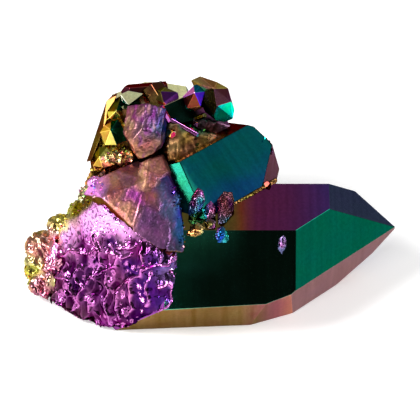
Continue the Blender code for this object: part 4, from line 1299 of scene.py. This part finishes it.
CORNER_POINTS = {
    "corner_oval": (
        (-6.4, 1.4, 28.9), (-7.6, 0.0, 27.9), (-8.4, -1.7, 26.2), (-8.2, -2.6, 24.9), (-7.0, -3.2, 24.3),
        (-5.8, -2.2, 25.6), (-4.9, -0.3, 27.1), (-5.4, 1.1, 28.3), (-6.6, -2.0, 27.9), (-6.8, -3.1, 26.4),
        (-6.8, 3.6, 24.5), (-7.6, 0.9, 21.6), (-5.4, 2.3, 23.1),
    ),
    "corner_blade": (
        (-2.6, -0.4, 27.2), (-1.3, 1.0, 28.2), (0.4, 1.5, 27.5), (0.8, 0.6, 26.3), (0.7, -0.9, 24.9),
        (-0.6, -4.1, 23.8), (-2.4, -4.8, 23.9), (-1.6, -2.1, 27.4), (-0.8, 3.6, 24.5), (-2.0, -0.9, 21.1),
        (0.4, 1.7, 22.5),
    ),
    "corner_foot": (
        (-3.0, -5.6, 24.3), (-1.6, -5.4, 24.8), (-0.2, -5.4, 23.9), (0.0, -6.6, 22.9), (-0.8, -7.8, 22.5),
        (-2.4, -7.9, 22.7), (-3.0, -6.9, 23.4), (-1.6, -7.4, 24.4), (-1.6, -3.5, 21.3), (-2.4, -5.3, 20.8),
        (-0.4, -5.0, 21.1),
    ),
    "corner_wedge": (
        (-5.0, -1.1, 26.2), (-3.8, -0.1, 26.7), (-2.8, -1.4, 26.2), (-3.0, -3.3, 25.3), (-4.6, -3.8, 25.1),
        (-4.0, -2.8, 26.7), (-4.0, 1.7, 23.9), (-3.8, 0.0, 22.1),
    ),
    "corner_spike": (
        (-9.4, -5.8, 23.5), (-8.0, -5.0, 24.3), (-6.6, -4.2, 24.9), (-4.8, -5.3, 24.3), (-5.4, -6.7, 24.0),
        (-7.0, -7.3, 23.6), (-8.6, -6.8, 23.6), (-7.0, -6.6, 25.0), (-7.0, -2.2, 21.2), (-5.4, -3.1, 21.7),
    ),
    "corner_bits": (
        (-5.2, -3.8, 25.1), (-4.0, -3.9, 25.5), (-2.8, -4.3, 25.1), (-3.0, -5.8, 24.5), (-4.4, -5.9, 24.6),
        (-4.0, -5.5, 25.6), (-4.0, -1.6, 21.8),
    ),
    "contact_rim": (
        (0.6, 0.8, 24.3), (4.0, 3.5, 24.3), (7.2, 6.1, 24.3), (9.4, 7.9, 24.3), (0.6, 1.4, 24.75),
        (9.4, 8.8, 24.85), (0.8, 2.6, 24.0), (9.0, 9.6, 24.0), (5.6, 5.2, 24.8),
    ),
    "front_chip": (
        (9.2, -8.1, 21.2), (9.6, -7.0, 23.0), (10.4, -6.5, 23.6), (11.0, -7.1, 22.9), (10.9, -8.1, 21.3),
        (10.1, -8.7, 20.2), (9.9, -8.2, 22.4), (10.3, -8.4, 21.4), (10.2, -4.0, 20.0),
    ),
}
CORNER_PATCHES = (
    ((-6.4, 0.6, 29.0), 1.3, "maroon"),
    ((-7.8, -1.0, 27.4), 1.0, "wine"),
    ((-6.8, -3.0, 26.4), 1.6, "lagoon"),
    ((-5.8, -1.6, 27.0), 1.2, "lagoon"),
    # Painted highlight: a small pink patch where the oval catches the light.
    ((-5.0, 0.0, 27.4), 0.8, "pink"),
    ((-4.0, -2.0, 26.6), 1.6, "pink"),
    ((-1.6, -1.4, 27.6), 2.2, "garnet"),
    ((0.6, 0.0, 26.0), 1.2, "wine"),
    ((-0.3, -3.6, 24.2), 1.1, "teal"),
    ((-1.8, -7.2, 24.0), 1.3, "blue"),
    ((-0.4, -6.6, 23.4), 1.0, "lagoon"),
    ((-2.6, -6.0, 24.4), 0.9, "magenta"),
    ((-7.6, -6.4, 24.8), 1.6, "honey"),
    ((-6.4, -5.6, 25.0), 1.1, "straw"),
    ((-4.0, -5.0, 25.6), 1.2, "olive"),
    ((2.0, 2.0, 24.8), 2.0, "olive"),
    ((5.0, 4.6, 24.8), 2.0, "bronze"),
    ((8.4, 7.6, 24.8), 2.0, "olive"),
    ((10.3, -8.6, 21.6), 1.4, "steel"),
    ((10.3, -8.2, 22.2), 0.6, "pink"),
)
CORNER_VOXEL = 0.13
CORNER_WANDER = 0.3
CORNER_PIT_SIZE = 0.6
CORNER_PIT_DEPTH = 0.12
CORNER_SKIN = 0.05
CORNER_GRIT = 0.8
# The film's brightness in the pits, and the painted highlight on the crests between them.
CORNER_SHADE = 0.6
CORNER_CREST_PAINTED_LIGHT = 0.9


def corner_surface(point, normal):
    pits, crest = shells(point + noise.noise_vector(point) * CORNER_WANDER, CORNER_PIT_SIZE)
    # Painted highlights on the crests between the pits.
    colour = patch_film(CORNER_PATCHES, point) * (CORNER_SHADE + CORNER_CREST_PAINTED_LIGHT * crest)
    return pits * CORNER_PIT_DEPTH - CORNER_SKIN, colour, CORNER_GRIT


corner_coating = coated_quartz("film_on_corner_points", rough=0.16, drift=0.06, grit=0.05, grit_size=0.3)
for name, corners in CORNER_POINTS.items():
    corner_mesh = joined_hulls(corners)
    rough_piece(corner_mesh, name, CORNER_VOXEL, corner_surface, corner_coating, smooth_under=75.0)


# The etched crystal: a short prism that leans out over the slabs, its faces eaten into pits and ribs.
# A coated quartz crystal like its neighbours, dulled by the etching, mauve and tan with blue on its right.

# Its tip, axis, facing, half width, length and missing tip, as for the small points.
ETCHED = ((-17.8, 4.0, 33.7), (-0.16, -0.88, -0.45), (0.35, -0.70, 0.70), 3.9, 10.6, 0.4)
ETCHED_PATCHES = (
    ((-20.6, 13.0, 38.9), 1.6, "mauve"),
    ((-21.0, 10.6, 37.2), 2.0, "fawn"),
    ((-18.6, 9.8, 38.2), 1.2, "magenta"),
    ((-20.0, 8.8, 36.4), 1.6, "fawn"),
    ((-16.4, 10.2, 38.8), 1.7, "magenta"),
    ((-15.6, 8.4, 37.6), 1.7, "azure"),
    ((-13.4, 10.0, 36.8), 2.1, "blue"),
    ((-14.4, 11.7, 38.4), 0.9, "orchid"),
    ((-17.6, 7.4, 37.1), 1.4, "mauve"),
    ((-18.0, 5.6, 35.0), 2.6, "peach"),
    ((-16.0, 5.6, 35.4), 1.6, "tan"),
    ((-17.0, 13.0, 40.0), 1.5, "umber"),
)
ETCHED_VOXEL = 0.2
WAVE_SIZE = 2.2
WAVE_DEPTH = 0.18
ETCHED_RIB_SIZE = 1.3
ETCHED_RIB_DEPTH = 0.13
ETCHED_PIT_SIZE = 0.55
ETCHED_PIT_DEPTH = 0.06
ETCHED_GRIT = 0.45
# Ribs and flecks are drawn out along the crystal, and their outlines wander, as those of the pits do.
ETCHED_RIB_STRETCH = (1.2, 0.5, 0.5)
FLECK_STRETCH = (1.1, 0.5, 0.5)
ETCHED_WANDER_SIZE = 1.8
ETCHED_RIB_WANDER = 0.6
FLECK_WANDER = 0.5
ETCHED_PIT_WANDER = 0.4
# The film's brightness, and the colours that flecks and the crests of ribs mix into it.  Each pair says at
# what height of the flecks' noise a colour starts and where it ends.
ETCHED_SHADE = 0.46
ETCHED_PIT_SHADE = 0.35
ORCHID_FLECKS = (0.1, 0.5)
ORCHID_SHARE = 0.6
FAWN_FLECKS = (-0.1, -0.5)
FAWN_SHARE = 0.35
CREST_WINE = 0.3


def etched_surface(point, normal):
    warp = noise.noise_vector(point / ETCHED_WANDER_SIZE)
    wave = noise.noise(point / WAVE_SIZE)
    ribs, crest = shells(stretched(point, ETCHED_RIB_STRETCH) + warp * ETCHED_RIB_WANDER, ETCHED_RIB_SIZE)
    fleck = noise.noise(stretched(point, FLECK_STRETCH) + warp * FLECK_WANDER)
    pits, _ = shells(point + warp * ETCHED_PIT_WANDER, ETCHED_PIT_SIZE)
    colour = patch_film(ETCHED_PATCHES, point) * (ETCHED_SHADE + ETCHED_PIT_SHADE * pits)
    colour = colour.lerp(film("orchid"), ramp(fleck, *ORCHID_FLECKS) * ORCHID_SHARE)
    colour = colour.lerp(film("fawn"), ramp(fleck, *FAWN_FLECKS) * FAWN_SHARE)
    colour = colour.lerp(film("wine"), crest * CREST_WINE)
    depth = wave * WAVE_DEPTH + ribs * ETCHED_RIB_DEPTH + pits * ETCHED_PIT_DEPTH
    return depth, colour, ETCHED_GRIT


etched_coating = coated_quartz("film_on_etched_crystal", rough=0.42, drift=0.05, grit=0.05, grit_size=0.3)
etched_mesh = cut_block(small_planes(*ETCHED))
rough_piece(
    etched_mesh, "etched_crystal", ETCHED_VOXEL, etched_surface, etched_coating, smooth_under=50.0
)


# Druse: a sugar of tiny quartz points over the crust on the left, round the golden points and in the
# corners.  Each is a six-sided point, a millimetre across at most, grown and coated where it sits.

# For each druse: the piece it grows on, the radius of its grains, how many grains there would be in a square
# metre, its seed, and its spots, each with its centre and how far it reaches.
DRUSE = {
    "druse_on_gold": ("back_rock", 0.42, 1.1e6, 3, (
        ((-23.0, 11.0, 33.0), 4.5), ((-26.0, 10.0, 28.5), 3.5), ((-20.0, 9.5, 34.0), 3.0),
        ((-22.0, 8.4, 30.6), 3.4),
    )),
    "druse_on_crust": ("left_end", 0.28, 1.3e6, 5, (
        ((-31.0, 6.0, 16.0), 3.5), ((-28.4, 6.0, 21.0), 3.5), ((-26.8, 2.5, 28.0), 2.5),
        ((-40.0, 2.0, 4.0), 2.5), ((-22.4, 7.0, 32.0), 3.2),
    )),
    "druse_on_break": ("fresh_break", 0.22, 1.5e6, 7, (
        ((-30.0, 5.0, 22.0), 3.4), ((-34.0, 4.0, 16.0), 2.6), ((-10.4, -10.0, 18.0), 1.6),
        ((-11.0, -12.5, 12.5), 1.6),
    )),
    "druse_on_slabs": ("slabs", 0.30, 1.6e6, 17, (
        ((-26.4, 1.5, 28.9), 2.0), ((-27.0, 3.0, 28.4), 1.6),
    )),
    "druse_in_corner": ("slabs", 0.22, 2.5e6, 9, (
        ((-10.6, 0.0, 29.6), 1.7), ((-10.0, -2.6, 28.0), 1.6), ((-9.6, -5.6, 26.0), 1.3),
        ((-9.4, -8.4, 23.4), 1.2),
    )),
    "druse_on_rim": ("second_point", 0.20, 3e6, 13, (
        ((8.3, 16.2, 28.3), 1.2), ((8.9, 13.8, 27.0), 1.2), ((9.5, 11.6, 25.8), 1.2),
        ((9.8, 10.0, 24.9), 1.0),
    )),
    "druse_in_recess": ("recess_wall", 0.30, 0.35e6, 11, (
        ((-6.0, 13.0, 33.0), 4.0), ((-2.0, 15.5, 30.0), 3.0),
    )),
}
DRUSE_INPUTS = {
    "Geometry": "NodeSocketGeometry",
    "Grain size": "NodeSocketFloat",
    "Grains per square metre": "NodeSocketFloat",
    "Seed": "NodeSocketInt",
    "Coating": "NodeSocketMaterial",
}
# A grain's radius at its tip and its height, as shares of its radius at the foot, and how grains vary in
# scale, in lean and turn (radians), and in how much light their film sends back.
GRAIN_SIDES = 6
GRAIN_TOP = 0.3
GRAIN_HEIGHT = 1.5
GRAIN_SCALES = (0.4, 1.3)
GRAIN_TURNS = ((-0.8, -0.8, -3.0), (0.8, 0.8, 3.0))
GRAIN_FILMS = ((0.5, 0.5, 0.5), (2.0, 2.0, 2.0))
# The grains thin out over this outer share of a spot's reach.
SPOT_RIM = 0.35


def random_value(tree, kind, bounds, seed):
    sockets = {"Min": bounds[0], "Max": bounds[1], "Seed": seed}
    return add_node(tree, "FunctionNodeRandomValue", sockets, data_type=kind)


def stored(tree, name, kind):
    return add_node(tree, "GeometryNodeInputNamedAttribute", {"Name": name}, data_type=kind)


def druse_tree():
    """Seats grains where the surface's druse attribute says, each with the film of its place, made darker or
    brighter."""
    tree = bpy.data.node_groups.new("druse", "GeometryNodeTree")
    for name, kind in DRUSE_INPUTS.items():
        tree.interface.new_socket(name, in_out="INPUT", socket_type=kind)
    tree.interface.new_socket("Geometry", in_out="OUTPUT", socket_type="NodeSocketGeometry")
    given = tree.nodes.new("NodeGroupInput").outputs
    size = given["Grain size"]
    seed = given["Seed"]

    density = times(tree, stored(tree, "druse", "FLOAT"), given["Grains per square metre"])
    spread = {"Mesh": given["Geometry"], "Density": density, "Seed": seed}
    points = add_node(tree, "GeometryNodeDistributePointsOnFaces", spread)
    shares = random_value(tree, "FLOAT_VECTOR", GRAIN_FILMS, seed)
    own_film = {0: stored(tree, "film", "FLOAT_COLOR"), 1: shares}
    colour = add_node(tree, "ShaderNodeVectorMath", own_film, operation="MULTIPLY")
    coated = add_node(
        tree, "GeometryNodeStoreNamedAttribute", {"Geometry": points, "Name": "film", "Value": colour},
        data_type="FLOAT_COLOR", domain="POINT",
    )
    cone = {
        "Vertices": GRAIN_SIDES, "Radius Top": times(tree, size, GRAIN_TOP), "Radius Bottom": size,
        "Depth": times(tree, size, GRAIN_HEIGHT),
    }
    turn = {
        "Rotation": points.node.outputs["Rotation"],
        "Rotate By": random_value(tree, "FLOAT_VECTOR", GRAIN_TURNS, seed),
    }
    seats = {
        "Points": coated, "Instance": add_node(tree, "GeometryNodeMeshCone", cone),
        "Rotation": add_node(tree, "FunctionNodeRotateRotation", turn, rotation_space="LOCAL"),
        "Scale": random_value(tree, "FLOAT", GRAIN_SCALES, seed),
    }
    seated = add_node(tree, "GeometryNodeInstanceOnPoints", seats)
    real = add_node(tree, "GeometryNodeRealizeInstances", {"Geometry": seated})
    coating = {"Geometry": real, "Material": given["Coating"]}
    finished = add_node(tree, "GeometryNodeSetMaterial", coating)
    tree.links.new(finished, tree.nodes.new("NodeGroupOutput").inputs["Geometry"])
    return tree


def grow_druse(name, host, spots, values):
    """Grows a druse on a copy of its host, and leaves only the grains.  The values are the tree's inputs."""
    mesh = host.data.copy()
    share = []
    for vertex in mesh.vertices:
        point = vertex.co / MM
        nearness = max(1.0 - (point - Vector(centre)).length / reach for centre, reach in spots)
        share.append(ramp(nearness, 0.0, SPOT_RIM))
    mesh.attributes.new("druse", "FLOAT", "POINT").data.foreach_set("value", share)
    bed = placed(name, mesh)
    modifier = bed.modifiers.new("druse", "NODES")
    modifier.node_group = druse_nodes
    for socket in druse_nodes.interface.items_tree:
        if socket.in_out == "INPUT" and socket.name in values:
            modifier[socket.identifier] = values[socket.name]
    return baked(bed)


druse_coating = coated_quartz("film_on_druse", rough=0.12, drift=0.06)
druse_nodes = druse_tree()
for name, (host, size, density, seed, spots) in DRUSE.items():
    values = {
        "Grain size": size * MM, "Grains per square metre": density, "Seed": seed, "Coating": druse_coating,
    }
    finish_piece(grow_druse(name, bpy.data.objects[host], spots, values), druse_coating)


# The table: a plain pale sheet of matt paper, wide enough to reach the horizon.
# It glows a little, so that it stays as white as the room.

TABLE_HALF_WIDTH = 12000.0
TABLE_LOOKS = {
    "Base Color": (0.86, 0.86, 0.85, 1.0),
    "Roughness": 0.9,
    "Specular IOR Level": 0.1,
    "Emission Color": (1.0, 1.0, 1.0, 1.0),
    "Emission Strength": 0.3,
}

table_mesh = bmesh.new()
bmesh.ops.create_grid(table_mesh, x_segments=1, y_segments=1, size=TABLE_HALF_WIDTH)
table = object_from(table_mesh, "table")
paper = bpy.data.materials.new("pale_paper")
paper.use_nodes = True
for socket, value in TABLE_LOOKS.items():
    paper.node_tree.nodes["Principled BSDF"].inputs[socket].default_value = value
table.data.materials.append(paper)


# The studio: a pale room, darker behind the camera and misty along the horizon, with three soft boxes: the
# key high at the left, a small low one below it, and a weaker one at the right.  The polished faces mirror
# the room's broad quiet areas, and the broken ones glitter.

DARK_SIDE = (0.0, -0.93, 0.37)
# How far round to the dark side the room's light starts to fall and stops, and its strength at both.
DARK_SIDE_FADE = (0.55, 0.92)
ROOM_LIGHT = (0.36, 0.03)
# How high above the horizon the mist's light starts to fall and stops, and its strength at both.
MIST_HEIGHTS = (0.03, 0.07)
MIST_LIGHT = (0.205, 0.0)
# Each soft box: where it hangs and how wide it is, in metres, and its power in watts.
SOFT_BOXES = {
    "key": ((-0.34, -0.12, 0.42), 0.22, 3.2),
    "low": ((-0.24, -0.33, 0.19), 0.09, 0.9),
    "fill": ((0.50, -0.10, 0.35), 0.30, 1.5),
}
SOFT_BOX_AIM = Vector((0.0, 0.0, 0.02))

world = bpy.data.worlds.new("studio")
bpy.context.scene.world = world
world.use_nodes = True
sky = world.node_tree
look = add_node(sky, "ShaderNodeTexCoord", {}, "Generated")
toward_dark = add_node(sky, "ShaderNodeVectorMath", {0: look, 1: DARK_SIDE}, operation="DOT_PRODUCT")
height = add_node(sky, "ShaderNodeSeparateXYZ", {0: look}, "Z")
room = carried(sky, toward_dark, DARK_SIDE_FADE, ROOM_LIGHT, interpolation_type="SMOOTHSTEP")
mist = carried(sky, height, MIST_HEIGHTS, MIST_LIGHT, interpolation_type="SMOOTHSTEP")
both = add_node(sky, "ShaderNodeMath", {0: room, 1: mist}, operation="ADD")
background = sky.nodes["Background"].inputs
background["Color"].default_value = (1.0, 1.0, 1.0, 1.0)
sky.links.new(both, background["Strength"])

for name, (place, width, watts) in SOFT_BOXES.items():
    light = bpy.data.lights.new(name, "AREA")
    light.shape = "SQUARE"
    light.size = width
    light.energy = watts
    soft_box = placed(name, light)
    soft_box.location = place
    soft_box.rotation_euler = (SOFT_BOX_AIM - Vector(place)).to_track_quat("-Z", "Y").to_euler()


# The camera: straight in front of the broad side and 43 degrees above the table.
# It stands far off with a long lens, so that the crystal's parallel edges stay parallel.

VIEW_CENTRE = Vector((-4.0, 6.2, 18.35)) * MM
VIEW_ELEVATION = radians(42.8)
VIEW_WIDTH = 84.0 * MM
SENSOR_WIDTH = 36.0
FOCAL_LENGTH = 300.0

lens = bpy.data.cameras.new("camera")
lens.sensor_width = SENSOR_WIDTH
lens.lens = FOCAL_LENGTH
camera = placed("camera", lens)
away = Vector((0.0, -cos(VIEW_ELEVATION), sin(VIEW_ELEVATION)))
camera.location = VIEW_CENTRE + away * (VIEW_WIDTH * FOCAL_LENGTH / SENSOR_WIDTH)
camera.rotation_euler = (-away).to_track_quat("-Z", "Y").to_euler()
bpy.context.scene.camera = camera
bpy.context.scene.view_settings.view_transform = "Standard"
